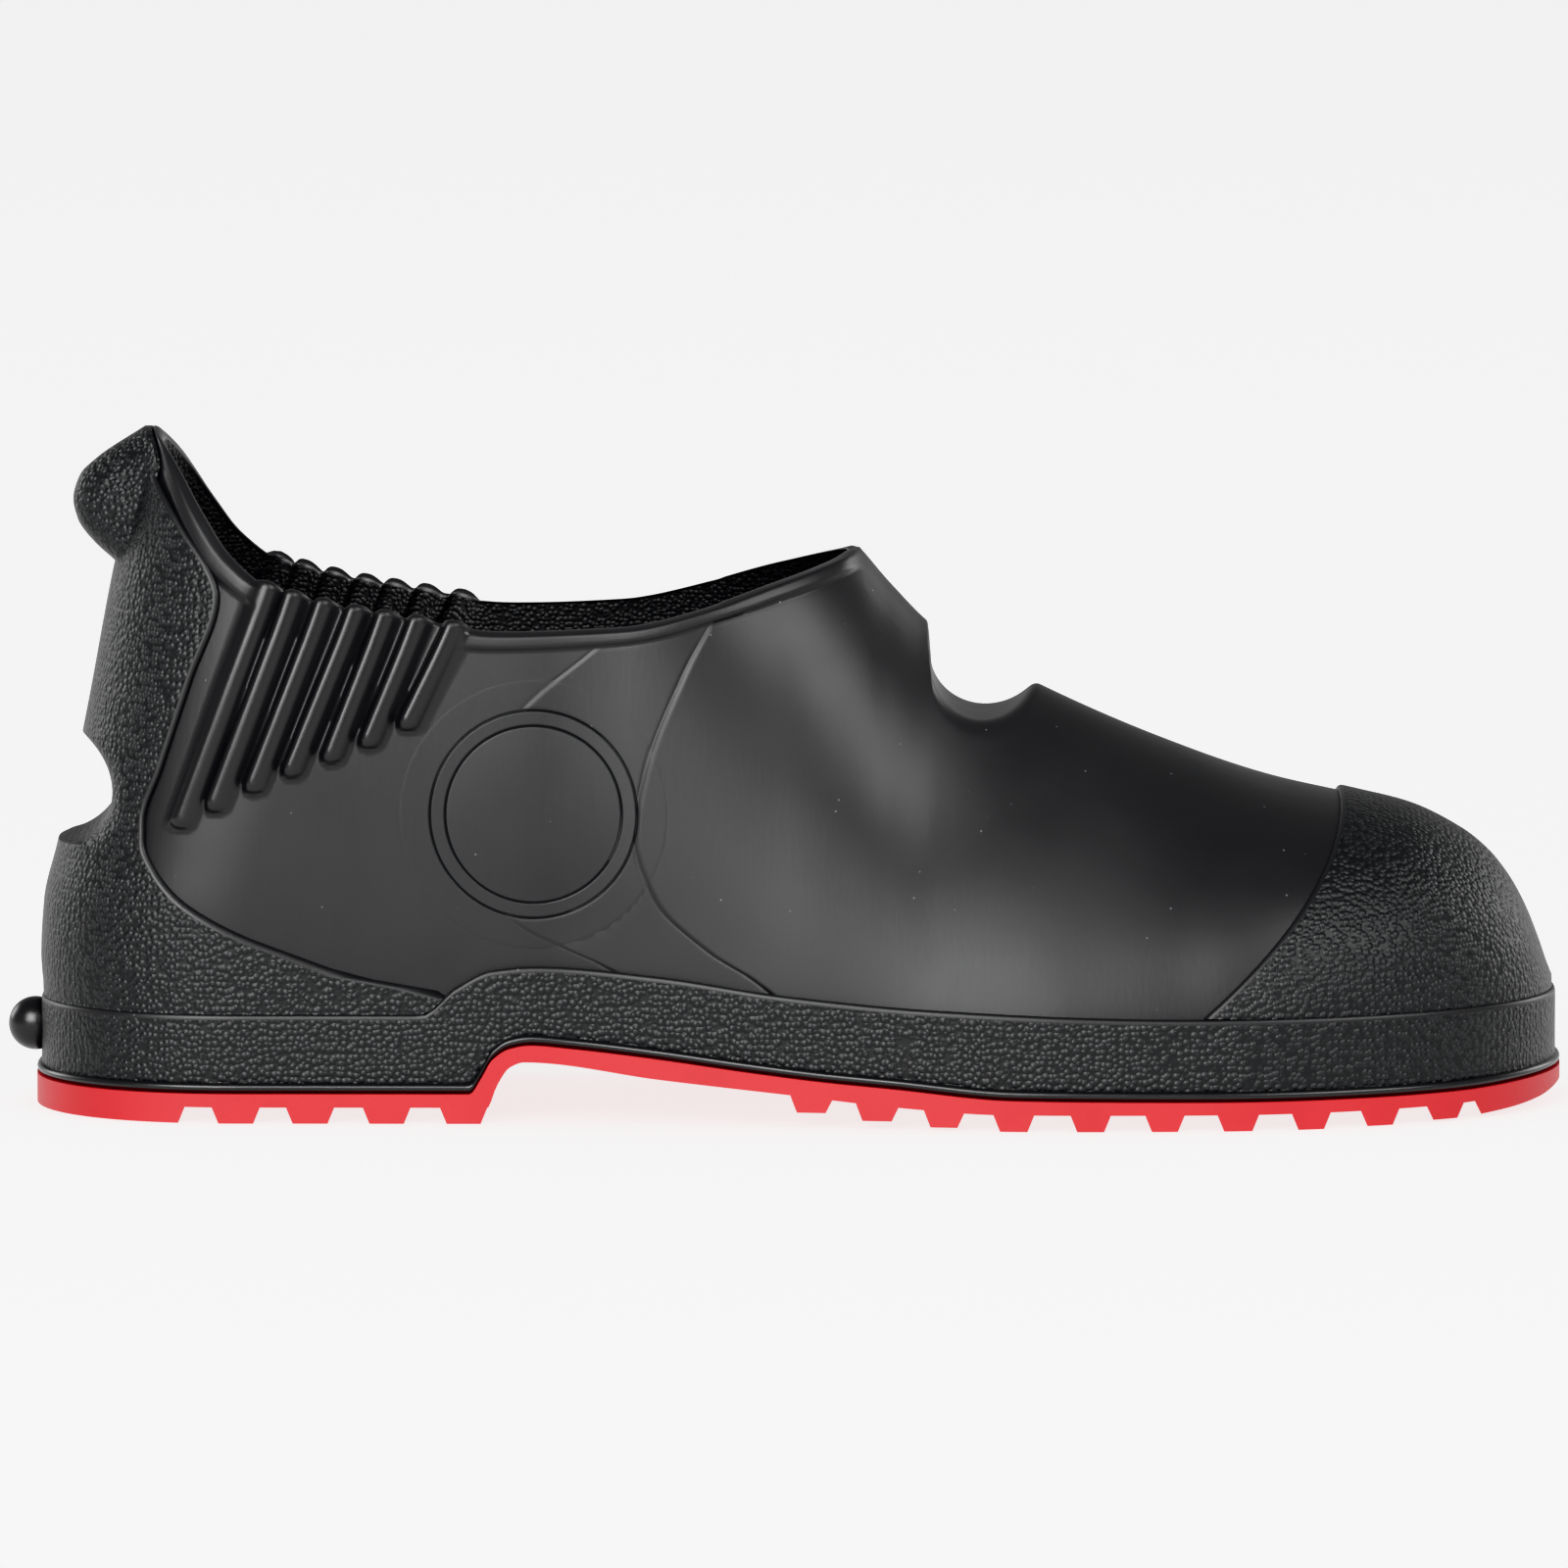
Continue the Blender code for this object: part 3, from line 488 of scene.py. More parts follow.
upperLook = dict(
    outerRows=wallRows(22, 44, 36), innerRows=wallRows(5, 11, 11),
    beadWidth=3.6, beadProud=1.1, beadFillet=0.15, beadPower=4.0,
    beadStart=(-0.05, 0.4), beadEnd=0.15, steepest=1.5,
    ribHalfWidth=2.95, ribHeight=2.5, ribFillet=0.45, ribPower=2.6, ribLean=0.3,
    innerRibs=0.55, polishedFrom=0.2, rimWave=0.6, waveDepth=8.0,
    frontStep=0.26, rearStep=0.12, creaseReach=18.0, creaseHalf=0.75, notch=0.5, notchHalf=0.3,
    fadeIn=(-0.4, 1.0),  # creases come in over this from the ring and the bead
    discDome=0.35, discBed=0.5, bedEdge=(0.5, 6.0),
    rimRows=7, leanRows=6, rollShare=0.5, heelDrop=0.32, heelDropEnd=0.6,
)
# gusset ribs, from the collar down to their feet
ribs = dict(
    headX=[-107.1, -101.9, -95.7, -89.0, -82.6, -75.5, -67.0],
    headZ=[113.0, 111.0, 109.0, 107.5, 107.0, 106.6, 107.0],
    footX=[-125.6, -118.4, -110.4, -102.5, -94.2, -86.3, -78.2],
    footZ=[63.5, 67.2, 71.2, 74.5, 77.5, 80.6, 84.3],
)
# plain round place on the outer quarter
disc = dict(x=-52.5, z=64.8, inner=18.5, outer=21.7)


# section of a bead or rib: height times (1 - d^power), d being 1 at its edge, with a filleted root
def roundSection(d, height, power, fillet):
    return -softMin(-height * (1 - np.abs(d) ** power), 0 * d, fillet)


# rounds along the rib lines, with round feet: height times the section at the distance from the line,
# the distance across drawn so that the crest lies nearer the rear flank
def ribRelief(x, z):
    head = np.stack((ribs["headX"], ribs["headZ"]), axis=-1)
    foot = np.stack((ribs["footX"], ribs["footZ"]), axis=-1)
    run = head - foot
    length = np.linalg.norm(run, axis=-1)
    point = np.stack((x, z), axis=-1)[..., None, :] - foot
    reach = length * upperLook["ribHalfWidth"]
    across = (point[..., 0] * run[:, 1] - point[..., 1] * run[:, 0]) / reach
    across = across + upperLook["ribLean"] * np.clip(1 - across ** 2, 0, None)
    below = np.minimum((point * run).sum(axis=-1) / reach, 0)
    d = np.hypot(across, below).min(axis=-1)
    return roundSection(d, upperLook["ribHeight"], upperLook["ribPower"], upperLook["ribFillet"])


# stretch of the collar that the ribs take up
beadGap = dict(slant=0.4, level=110.0, rear=(-111.5, -108.0), front=(-66.5, -63.0))


# 1 between the first and the last rib, where the bead stops: one smooth step times 1 less another
def ribZone(x, z):
    at = x + beadGap["slant"] * (beadGap["level"] - z)
    return ease(at, *beadGap["rear"]) * (1 - ease(at, *beadGap["front"]))


# distance from the middle of the round place
def fromDisc(x, z):
    return np.hypot(x - disc["x"], z - disc["z"])


# crease: a soft step up that dies out ahead, with a fine notch at its foot
def creaseRelief(x, z):
    half = upperLook["creaseHalf"]
    total = 0 * x
    for line, height in ((frontCrease, upperLook["frontStep"]), (rearCrease, upperLook["rearStep"])):
        ahead = x - readTable(line, z, "z", "x")
        step = ease(ahead, -half, half) * np.exp(-np.clip(ahead, 0, None) / upperLook["creaseReach"])
        notch = upperLook["notch"] * np.exp(-((ahead + half) / upperLook["notchHalf"]) ** 2)
        total = total + height * (step - notch)
    return total * ease(fromDisc(x, z) - disc["outer"], *upperLook["fadeIn"])


# shallow dome inside the ring: height times (1 - (distance / radius)^2)
def discRelief(x, z):
    return upperLook["discDome"] * np.clip(1 - (fromDisc(x, z) / disc["inner"]) ** 2, 0, 1)


# bed under the ring's plate: depth inside the ring, easing out to nothing beyond it
def discBed(x, z):
    return upperLook["discBed"] * (1 - ease(fromDisc(x, z) - disc["outer"], *upperLook["bedEdge"]))


# the rim stands higher over each rib and fades out below
def rimWave(points):
    lift = ribRelief(points[:, -1:, 0], points[:, -1:, 2]) / upperLook["ribHeight"]
    below = (points[:, -1:, 2] - points[..., 2]) / upperLook["waveDepth"]
    return upperLook["rimWave"] * lift * np.clip(1 - below, 0, 1) ** 2


# one side of the upper's outer face: the shell function plus bead, ribs and creases along its normals
def upperOuter(u, side):
    x, z = upperNet(u, 0.0, upperLook["outerRows"])
    base = onSurface(x, z, 0.0, side)
    normal = gridNormals(base) * -side
    normal[0, :, 1] = 0.0
    normal[0] /= np.linalg.norm(normal[0], axis=-1, keepdims=True)
    runX, runY, runZ = np.gradient(base[:, -1], axis=0).T
    slope = np.clip(runZ / np.hypot(runX, runY), -upperLook["steepest"], upperLook["steepest"])
    below = (z[:, -1:] - z) / np.sqrt(1 + slope[:, None] ** 2)
    width = upperLook["beadWidth"]
    bead = roundSection(2 * below / width - 1, upperLook["beadProud"], upperLook["beadPower"],
                        upperLook["beadFillet"])
    along = np.asarray(u)[:, None]
    throat = shoe["throatU"]
    ends = ease(along, *upperLook["beadStart"]) * (1 - ease(along, throat - upperLook["beadEnd"], throat))
    relief = np.maximum(bead * (1 - ribZone(x, z)) * ends, ribRelief(x, z))
    relief = relief + creaseRelief(x, z) * ease(below - width, *upperLook["fadeIn"])
    if side < 0:
        relief = relief + discRelief(x, z) - discBed(x, z)
    base[..., 2] += rimWave(base)
    return base + normal * relief[..., None]


# one side of its inner face: the shell function at the wall's inset, hollowed behind the ribs
def upperInner(u, side):
    x, z = upperNet(u, shoe["wall"], upperLook["innerRows"])
    base = onSurface(x, z, shoe["wall"], side)
    base[..., 2] += rimWave(base)
    base[..., 1] += side * upperLook["innerRibs"] * ribRelief(x, z)
    return base


# outer side read backwards, then the inner side, sharing the heel's midline
def bothSides(make, columns, *more):
    outer = make(columns, -1.0, *more)
    inner = make(columns, 1.0, *more)
    return np.concatenate((outer[::-1], inner[1:]))


# columns of the upper's net from the heel's midline to the toe's, with even stretches as start, end, count
columnLook = dict(
    even=((0.55, 7.4, 120), (7.4, 10.0, 66), (10.0, 10.8, 12), (10.8, 10.99, 12), (12.01, 12.2, 12),
          (12.25, 14.1, 34)),
    heel=24, heelTo=0.55, heelCrowd=1.3, groove=34, grooveFrom=11.0, grooveTo=12.0, toe=14, toeFrom=14.1,
    besideCrease=(0.0, 0.005, 0.011, 0.018, 0.028, 0.042, 0.06, 0.085),
)


# the even stretches, with a power at the heel, a cosine across the instep groove and a sine at the toe
def upperColumns():
    look = columnLook
    heel = look["heelTo"] * np.linspace(0, 1, look["heel"]) ** look["heelCrowd"]
    near = np.array(look["besideCrease"])
    creases = [at + sign * near for at in (shoe["rearU"], shoe["frontU"]) for sign in (-1, 1)]
    share = (1 - np.cos(np.linspace(0, math.pi, look["groove"]))) / 2
    groove = look["grooveFrom"] + (look["grooveTo"] - look["grooveFrom"]) * share
    share = np.sin(np.linspace(0, math.pi / 2, look["toe"]))
    toe = look["toeFrom"] + (shoe["toeU"] - look["toeFrom"]) * share
    even = [np.linspace(*stretch) for stretch in look["even"]]
    return np.unique(np.round(np.concatenate((heel, *even, *creases, groove, toe)), 5))


# hollow wall: outer face, rolled rim, inner face and lower edge
def buildUpper(finish, lining, ribFinish):
    columns = upperColumns()
    outer = bothSides(upperOuter, columns)
    inner = bothSides(upperInner, columns)
    around = np.concatenate((columns[::-1], columns[1:]))
    count, rows = outer.shape[:2]
    deep = inner.shape[1]

    share = np.linspace(0, 1, upperLook["rimRows"] + 2)[1:-1][None, :, None]
    top = outer[:, -1:]
    gap = inner[:, -1:] - top
    lean = upperLook["leanRows"]
    up = top - outer[:, -lean:1 - lean]
    up = up / np.linalg.norm(up, axis=-1, keepdims=True)
    drop = upperLook["heelDrop"] * (1 - ease(around, 0, upperLook["heelDropEnd"]))
    tall = (upperLook["rollShare"] - drop)[:, None, None]
    roll = tall * np.linalg.norm(gap, axis=-1, keepdims=True)
    rim = top + gap * (1 - np.cos(math.pi * share)) / 2 + up * roll * np.sin(math.pi * share)
    rim = np.concatenate((top, rim, inner[:, -1:]), axis=1)

    outerQuads = gridQuads(count, rows)
    innerQuads = gridQuads(count, deep, count * rows)
    rimStart = count * (rows + deep)
    rimQuads = gridQuads(count, rim.shape[1], rimStart)
    isOpen = np.maximum(around[:-1], around[1:]) <= shoe["throatU"]
    rimQuads = rimQuads[np.repeat(isOpen, rim.shape[1] - 1)]
    foot = np.arange(count) * rows
    innerFoot = count * rows + np.arange(count) * deep
    edgeQuads = np.stack((foot[:-1], foot[1:], innerFoot[1:], innerFoot[:-1]), axis=-1)
    quads = np.concatenate((outerQuads, innerQuads, rimQuads, edgeQuads))
    relief = ribRelief(*upperNet(columns, 0.0, upperLook["outerRows"]))
    relief = np.concatenate((relief[::-1], relief[1:])).ravel()
    polished = relief[outerQuads].mean(axis=1) > upperLook["polishedFrom"]
    index = np.concatenate((np.where(polished, 2, 0), np.ones(len(innerQuads)),
                            np.zeros(len(rimQuads) + len(edgeQuads))))
    finishes = [finish, lining, ribFinish]
    return addPiece("upperWall", [outer, inner, rim], quads, finishes, "upper", index, 70.0)


# thin shell: two faces of one grid, joined round the edge
def shellQuads(columns, rows, closeTop=True):
    size = columns * rows
    number = np.arange(size).reshape(columns, rows)
    far = number + size
    groups = [gridQuads(columns, rows), gridQuads(columns, rows, size)]
    edges = [(number[:, 0], far[:, 0])]
    if closeTop:
        edges.append((number[:, -1], far[:, -1]))
    edges += [(number[0], far[0]), (number[-1], far[-1])]
    for first, second in edges:
        groups.append(np.stack((first[:-1], first[1:], second[1:], second[:-1]), axis=-1))
    return np.concatenate(groups)


# what both overlays share: the gap above the rand, and the share of thickness left at a rolled edge
overlay = dict(gap=0.05, root=0.02)


# overlay: the tucked grid moved towards the proud one by the weight, its rolled columns polished
def addOverlay(name, node, low, high, weight, polished, finishes, closeTop):
    outer = low + (high - low) * (overlay["root"] + (1 - overlay["root"]) * weight)
    count, rows = outer.shape[:2]
    quads = shellQuads(count, rows, closeTop)
    index = np.zeros(len(quads))
    index[:(count - 1) * (rows - 1)] = np.repeat(polished, rows - 1)
    return addPiece(name, [outer, low], quads, finishes, node, index)


capLook = dict(proud=1.2, tuck=-0.3, roll=0.055, rolled=7, columns=90, rows=70,
               netRows=wallRows(10, 20, 20))


# toe cap: the upper's surface from the rand to the ridge, its rear edge rolled down to the upper
def capSide(u, side, inset):
    x, z = upperNet(u, inset, capLook["netRows"])
    low = randTopHeight(x[:, :1]) + overlay["gap"]
    top = z[:, -1:]
    height = low + (top - low) * np.sin(np.linspace(0, math.pi / 2, capLook["rows"]))
    x = np.array([np.interp(height[i], z[i], x[i]) for i in range(len(u))])
    y = halfBreadth(x, height, inset)
    return np.stack((x, centreLine(x) + side * y, height), axis=-1)


# thickness falls off as a quarter circle over the rolled rear edge
def buildToeCap(finish, rollFinish):
    start = shoe["capU"]
    roll = capLook["roll"]
    turn = np.linspace(0, math.pi / 2, capLook["rolled"])
    run = np.linspace(0, math.pi / 2, capLook["columns"])
    edge = start + roll * (1 - np.cos(turn))[:-1]
    rest = start + roll + (shoe["toeU"] - start - roll) * np.sin(run)
    columns = np.concatenate((edge, rest))[::-1]
    around = np.concatenate((columns[::-1], columns[1:]))
    weight = np.sqrt(1 - (1 - np.clip((around - start) / roll, 0, 1)) ** 2)
    polished = np.maximum(around[:-1], around[1:]) < start + 1.01 * roll
    low = bothSides(capSide, columns, -capLook["tuck"])
    high = bothSides(capSide, columns, -capLook["proud"])
    finishes = [finish, rollFinish]
    return addOverlay("toeCap", "toe_cap", low, high, weight[:, None, None], polished, finishes, False)


counterLook = dict(
    proud=1.45, tuck=-0.3, columns=64, crowd=1.6, rolled=9, rollMm=1.5, rollShare=0.3, leastWide=0.5,
    topRows=5, netRows=(26, 36, 44), lowest=23.2, highest=138.0, rearX=-150.0,
)
counterEdge = dict(
    z=[22.8, 25.0, 27.2, 29.5, 31.9, 35.4, 38.9, 43.0, 47.2, 53.0, 58.0, 62.5, 73.5, 92.5, 110.0,
       115.4, 124.4, 135.6, 138.5],
    x=[-68.0, -68.5, -70.5, -83.2, -93.2, -102.8, -112.3, -120.6, -126.9, -131.8, -134.0, -134.0,
       -130.4, -124.0, -118.2, -120.0, -126.2, -132.9, -134.0],
)


# heel counter: level rows of the upper's surface from the heel's back to the counter's front edge;
# the last columns share out a lip of constant width across the edge
def counterSide(run, side, lip, inset):
    z = heelRows(inset, counterLook["netRows"])
    z = z[(z > counterLook["lowest"]) & (z < counterLook["highest"])]
    z = np.concatenate(([randTopHeight(counterLook["rearX"]) + overlay["gap"]], z))
    back = heelBack(z, inset)
    edge = np.maximum(readTable(counterEdge, z, "z", "x"), back + counterLook["leastWide"])
    lean = np.gradient(edge, z)
    width = counterLook["rollMm"] * np.sqrt(1 + lean ** 2)
    width = np.minimum(width, counterLook["rollShare"] * (edge - back))
    body = back + (edge - width - back) * run[:, None]
    x = np.concatenate((body, edge - width * (1 - lip[:, None])))
    z = z + 0 * x
    z[:, 0] = randTopHeight(x[:, 0]) + overlay["gap"]
    return onSurface(x, z, inset, side)


# thickness falls off as a quarter circle across the lip and over the top rows
def buildCounter(finish, rollFinish):
    run = np.linspace(0, 1, counterLook["columns"]) ** counterLook["crowd"]
    turn = np.linspace(0, math.pi / 2, counterLook["rolled"])[1:]
    shape = np.concatenate((np.ones(len(run)), np.cos(turn)))
    low = bothSides(counterSide, run, np.sin(turn), -counterLook["tuck"])
    high = bothSides(counterSide, run, np.sin(turn), -counterLook["proud"])
    both = np.concatenate((shape[::-1], shape[1:]))
    polished = np.minimum(both[:-1], both[1:]) < 0.99
    rows = low.shape[1]
    fromTop = np.clip((rows - 1 - np.arange(rows)) / counterLook["topRows"], 0, 1)
    weight = both[:, None, None] * np.sqrt(1 - (1 - fromTop) ** 2)[None, :, None]
    finishes = [finish, rollFinish]
    return addOverlay("heelCounter", "heel_counter", low, high, weight, polished, finishes, True)


heelStep = dict(rear=-70.0, front=-44.0, places=40)  # where the sole rises ahead of the heel


# places along the sole: cosine spaced, so they crowd at the round ends, and close on the heel step
def soleStations(count):
    middle = (shoe["heelEnd"] + shoe["toeEnd"]) / 2
    even = middle - (shoe["toeEnd"] - shoe["heelEnd"]) / 2 * np.cos(np.linspace(0, math.pi, count))
    step = np.linspace(heelStep["rear"], heelStep["front"], heelStep["places"])
    return np.unique(np.concatenate((even, step)))


# loop round the shoe at an inset of the outline: centre line less and plus the half width
def outlineLoop(places, inset, height):
    share = (places - shoe["heelEnd"]) / (shoe["toeEnd"] - shoe["heelEnd"])
    x = places + inset * (1 - 2 * share)
    half = outlineHalf(x, inset)
    z = height(x)
    return np.stack([np.stack((x, centreLine(x) + side * half, z), axis=-1) for side in (-1, 1)])


# profile of loops: a ring joined to itself, or a tray closed by its first and its last loop
def loftLoops(profile, places, ring):
    loops = np.stack([outlineLoop(places, inset, height) for inset, height in profile])
    levels, sides, count = loops.shape[:3]
    number = np.arange(levels * sides * count).reshape(levels, sides, count)
    level = number if ring else number[:-1]
    above = np.roll(number, -1, axis=0) if ring else number[1:]
    corners = (level[..., :-1], level[..., 1:], above[..., 1:], above[..., :-1])
    groups = [np.stack(corners, axis=-1).reshape(-1, 4)]
    for lid in () if ring else (number[0], number[-1]):
        groups.append(np.stack((lid[0, :-1], lid[0, 1:], lid[1, 1:], lid[1, :-1]), axis=-1))
    return loops, np.concatenate(groups)


randLook = dict(
    proud=1.0, wall=2.3, floor=2.2, gap=0.3, lap=0.3, footIn=0.25, footUp=0.2, wallRows=6,
    rollTall=1.1, rollDeep=0.6, rollRows=7, places=220,
)
flangeLook = dict(tall=2.0, deep=0.3, bed=0.8, turns=9)


# top of the outsole plus a thin gap
def soleTopHeight(x):
    return readTable(soleTop, x) + randLook["gap"]


# upper edge of the rand, read from its table
def randTopHeight(x):
    return readTable(randTop, x)


# rand: tray with an upright wall, a polished top edge rolled as a quarter ellipse, and a floor
def buildRand(finish, rollFinish):
    proud = randLook["proud"]
    tall = randLook["rollTall"]
    inside = proud + randLook["wall"]
    start = flangeLook["tall"] - randLook["lap"]

    def wallHeight(x, share):
        low = soleTopHeight(x) + start
        return low + (randTopHeight(x) - tall - low) * share

    profile = [(proud + randLook["footIn"], lambda x: soleTopHeight(x) + randLook["footUp"])]
    for share in np.linspace(0, 1, randLook["wallRows"])[:-1]:
        profile.append((proud, lambda x, f=share: wallHeight(x, f)))
    firstRoll = len(profile)
    for turn in np.linspace(0, math.pi / 2, randLook["rollRows"]):
        inset = proud + randLook["rollDeep"] * (1 - math.cos(turn))
        profile.append((inset, lambda x, s=math.sin(turn): randTopHeight(x) - tall * (1 - s)))
    profile.append((inside, randTopHeight))
    profile.append((inside, lambda x: soleTopHeight(x) + randLook["floor"]))
    places = soleStations(randLook["places"])
    loops, quads = loftLoops(profile, places, False)
    polished = np.arange(len(profile) - 1) >= firstRoll
    index = np.zeros(len(quads))
    perLevel = 2 * (len(places) - 1)
    index[:len(polished) * perLevel] = np.repeat(polished, perLevel)
    return addPiece("randTray", [loops], quads, [finish, rollFinish], "rand", index)


# bead flange: a half-round lip round the whole shoe between rand and outsole
def buildFlange(finish):
    tall = flangeLook["tall"] / 2
    deep = randLook["proud"] + flangeLook["deep"]
    bed = randLook["proud"] + flangeLook["bed"]
    profile = []
    for turn in np.linspace(-math.pi / 2, math.pi / 2, flangeLook["turns"]):
        inset = deep - deep * math.cos(turn)
        profile.append((inset, lambda x, s=math.sin(turn): soleTopHeight(x) + tall + tall * s))
    profile.append((bed, lambda x: soleTopHeight(x) + 2 * tall))
    profile.append((bed, soleTopHeight))
    loops, quads = loftLoops(profile, soleStations(randLook["places"]), True)
    return addPiece("beadFlange", [loops], quads, [finish], "rand")


soleLook = dict(
    slope=1.4, edgeStep=0.25, places=170, columns=41,
    channel=5.0, channelEdge=(-0.9, 0.3), channelDeep=0.9, channelReach=0.9,
    channelRear=(-121.5, -119.5), channelFront=(138.5, 140.0),
    channelColumns=(-5.6, -4.9, -4.2, 4.2, 4.9, 5.6),
)
web = dict(
    x=[-165.0, -62.2, -60.2, -57.5, -54.5, -26.4, 1.5, 25.0, 45.0, 100.0, 140.0, 165.2],
    z=[3.4, 3.4, 8.0, 11.9, 13.0, 9.6, 6.9, 4.6, 3.5, 3.4, 3.6, 5.4],
)
lugs = dict(
    rear=[-165.0, -118.6, -103.0, -86.9, -70.7, 2.7, 16.4, 30.6, 45.1, 61.2, 76.8, 91.9,
          107.5, 122.1, 136.2, 146.6],
    front=[-127.1, -111.3, -95.7, -79.7, -63.6, 8.7, 22.5, 36.2, 50.8, 66.8, 82.2, 97.8,
           112.9, 127.5, 141.4, 170.0],
    z=[0.0, 0.0, 0.0, 0.0, 0.0, 3.3, 1.8, 0.7, 0.0, 0.0, 0.0, 0.0, 0.0, 0.2, 0.6, 0.9],
)
toeLift = dict(x=[146.6, 154.0, 160.0, 165.2], z=[0.0, 0.7, 1.7, 3.5])


# underside of the outsole: web height, less each bar's depth times a flat-topped profile of its width
def treadHeight(x, y):
    under = readTable(web, x)
    slope = soleLook["slope"]
    deep = 0 * x
    for rear, front, z in zip(lugs["rear"], lugs["front"], lugs["z"]):
        rise = np.clip((x - rear + slope) / slope, 0, 1) * np.clip((front + slope - x) / slope, 0, 1)
        lift = readTable(toeLift, x) if rear >= toeLift["x"][0] else 0
        deep = np.maximum(deep, rise * (under - z - lift))
    inChannel = 1 - ease(np.abs(y) - soleLook["channel"], *soleLook["channelEdge"])
    inChannel = inChannel * ease(x, *soleLook["channelRear"]) * (1 - ease(x, *soleLook["channelFront"]))
    return under - deep * (1 - soleLook["channelDeep"] * inChannel)


# outsole: flat grid of the plan outline, its top on the rand and its underside the tread
def buildOutsole(finish):
    slope = soleLook["slope"]
    step = soleLook["edgeStep"]
    rear = np.array(lugs["rear"])
    front = np.array(lugs["front"])
    edges = np.concatenate((rear - slope, rear, front, front + slope))
    fine = np.concatenate((edges, edges - step, edges + step))
    fine = fine[(fine > shoe["heelEnd"] + 1) & (fine < shoe["toeEnd"] - 1)]
    x = np.unique(np.round(np.concatenate((soleStations(soleLook["places"]), fine)), 3))[:, None]
    share = np.sin(np.linspace(-math.pi / 2, math.pi / 2, soleLook["columns"]))[None, :]
    channel = np.array(soleLook["channelColumns"])[None, :]
    half = outlineHalf(x, 0.0)
    offset = half * share
    reach = soleLook["channelReach"] * half
    inner = np.clip(channel, -reach, reach)
    offset = np.sort(np.concatenate((offset, inner), axis=1), axis=1)
    y = centreLine(x) + offset
    xs = x + 0 * y
    under = treadHeight(xs, offset)
    top = readTable(soleTop, xs)
    faces = [np.stack((xs, y, z), axis=-1) for z in (under, top)]
    quads = shellQuads(*y.shape)
    return addPiece("lugOutsole", faces, quads, [finish], "outsole", sharp=25.0)


tabLook = dict(width=25.0, flare=1.25, power=4, fillet=0.8, bed=0.12, depth=0.9, topGap=-0.4,
               bendFrom=0.3, leastThick=0.1, rows=70, columns=91)
tab = dict(
    s=[0.0, 0.2, 0.35, 0.5, 0.65, 0.8, 1.0],
    x=[-142.2, -146.4, -149.6, -150.6, -149.3, -145.6, -135.4],
    z=[115.4, 119.2, 123.6, 127.9, 132.4, 136.0, 142.6],
)


# distance in from the heel's back at a half breadth: the end rounding solved backwards
def heelDepth(y, z, inset):
    start = heelBack(z, inset)
    half = readTable(outline, start, "x", "half") - shoe["seatInset"] - inset
    t = np.clip((z - shoe["shoulder"]) / (crestHeight(start, inset) - shoe["shoulder"]), 0, 1)
    share = np.clip(np.abs(y) / (half * np.sqrt(1 - t ** 2)), 0, 1)
    return start, (shoe["heelRound"] - shoe["seatInset"] - inset) * (1 - rounded(share))


# pull tab: the counter's surface pushed back by thickness times (1 - share^power), with a flared root;
# its upper rows bend down sideways with the collar's rim
def buildTab(finish):
    s = np.linspace(0, 1, tabLook["rows"])
    turn = np.linspace(-math.pi / 2, math.pi / 2, tabLook["columns"])
    across = tabLook["flare"] * np.sin(turn)[:, None]
    y = across * tabLook["width"] / 2
    start, depth = heelDepth(y, shoe["collarTip"] + 0 * y, 0.0)
    rim = readTable(collar, start + depth) - tabLook["topGap"]
    z = readTable(tab, s, "s", "z") + 0 * y
    z = z + (rim - z[:, -1:]) * ease(s, tabLook["bendFrom"], 1)
    start, depth = heelDepth(y, z, -counterLook["proud"])
    thick = np.clip(start - readTable(tab, s, "s", "x"), tabLook["leastThick"], None)
    swell = -softMin(across ** tabLook["power"] - 1, 0 * y, tabLook["fillet"])
    back = start + depth - (thick * swell - tabLook["bed"])
    inside = start + depth + tabLook["depth"]
    faces = [np.stack((x, y + 0 * z, z), axis=-1) for x in (back, inside)]
    quads = shellQuads(len(across), len(s))
    return addPiece("pullTab", faces, quads, [finish], "pull_tab")


ballLook = dict(x=-159.1, z=16.0, radius=5.7, bed=0.1, around=64, rings=41, pole=0.001)


# kick-off lug: a ball by angles, its front face bedded on the rand's rounded back
def buildKickOff(finish):
    radius = ballLook["radius"]
    proud = randLook["proud"]
    pole = ballLook["pole"]
    turn = np.linspace(0, 2 * math.pi, ballLook["around"], endpoint=False)
    turn, tilt = np.meshgrid(turn, np.linspace(pole, math.pi - pole, ballLook["rings"]))
    y = radius * np.sin(tilt) * np.cos(turn)
    z = ballLook["z"] + radius * np.sin(tilt) * np.sin(turn)
    x = ballLook["x"] - radius * np.cos(tilt)
    share = np.abs(y) / (outline["half"][0] - proud)
    depth = (shoe["heelRound"] - proud) * (1 - rounded(share))
    x = np.minimum(x, shoe["heelEnd"] + proud + depth + ballLook["bed"])
    points = np.stack((x, y, z), axis=-1)
    quads = gridQuads(*x.shape, wrapRows=True)
    return addPiece("kickOffLug", [points], quads, [finish], "kick_off_lug")


ringLook = dict(reach=7.2, skirt=1.4, proud=0.02, sunk=0.03, groove=0.34, grooveHalf=0.2, bed=0.9,
                around=320)
# radial steps of the ring's plate: on the disc, across each groove, between them and outside
ringSteps = dict(disc=14, groove=23, grooveReach=0.8, between=5, outside=30, clear=1.0)


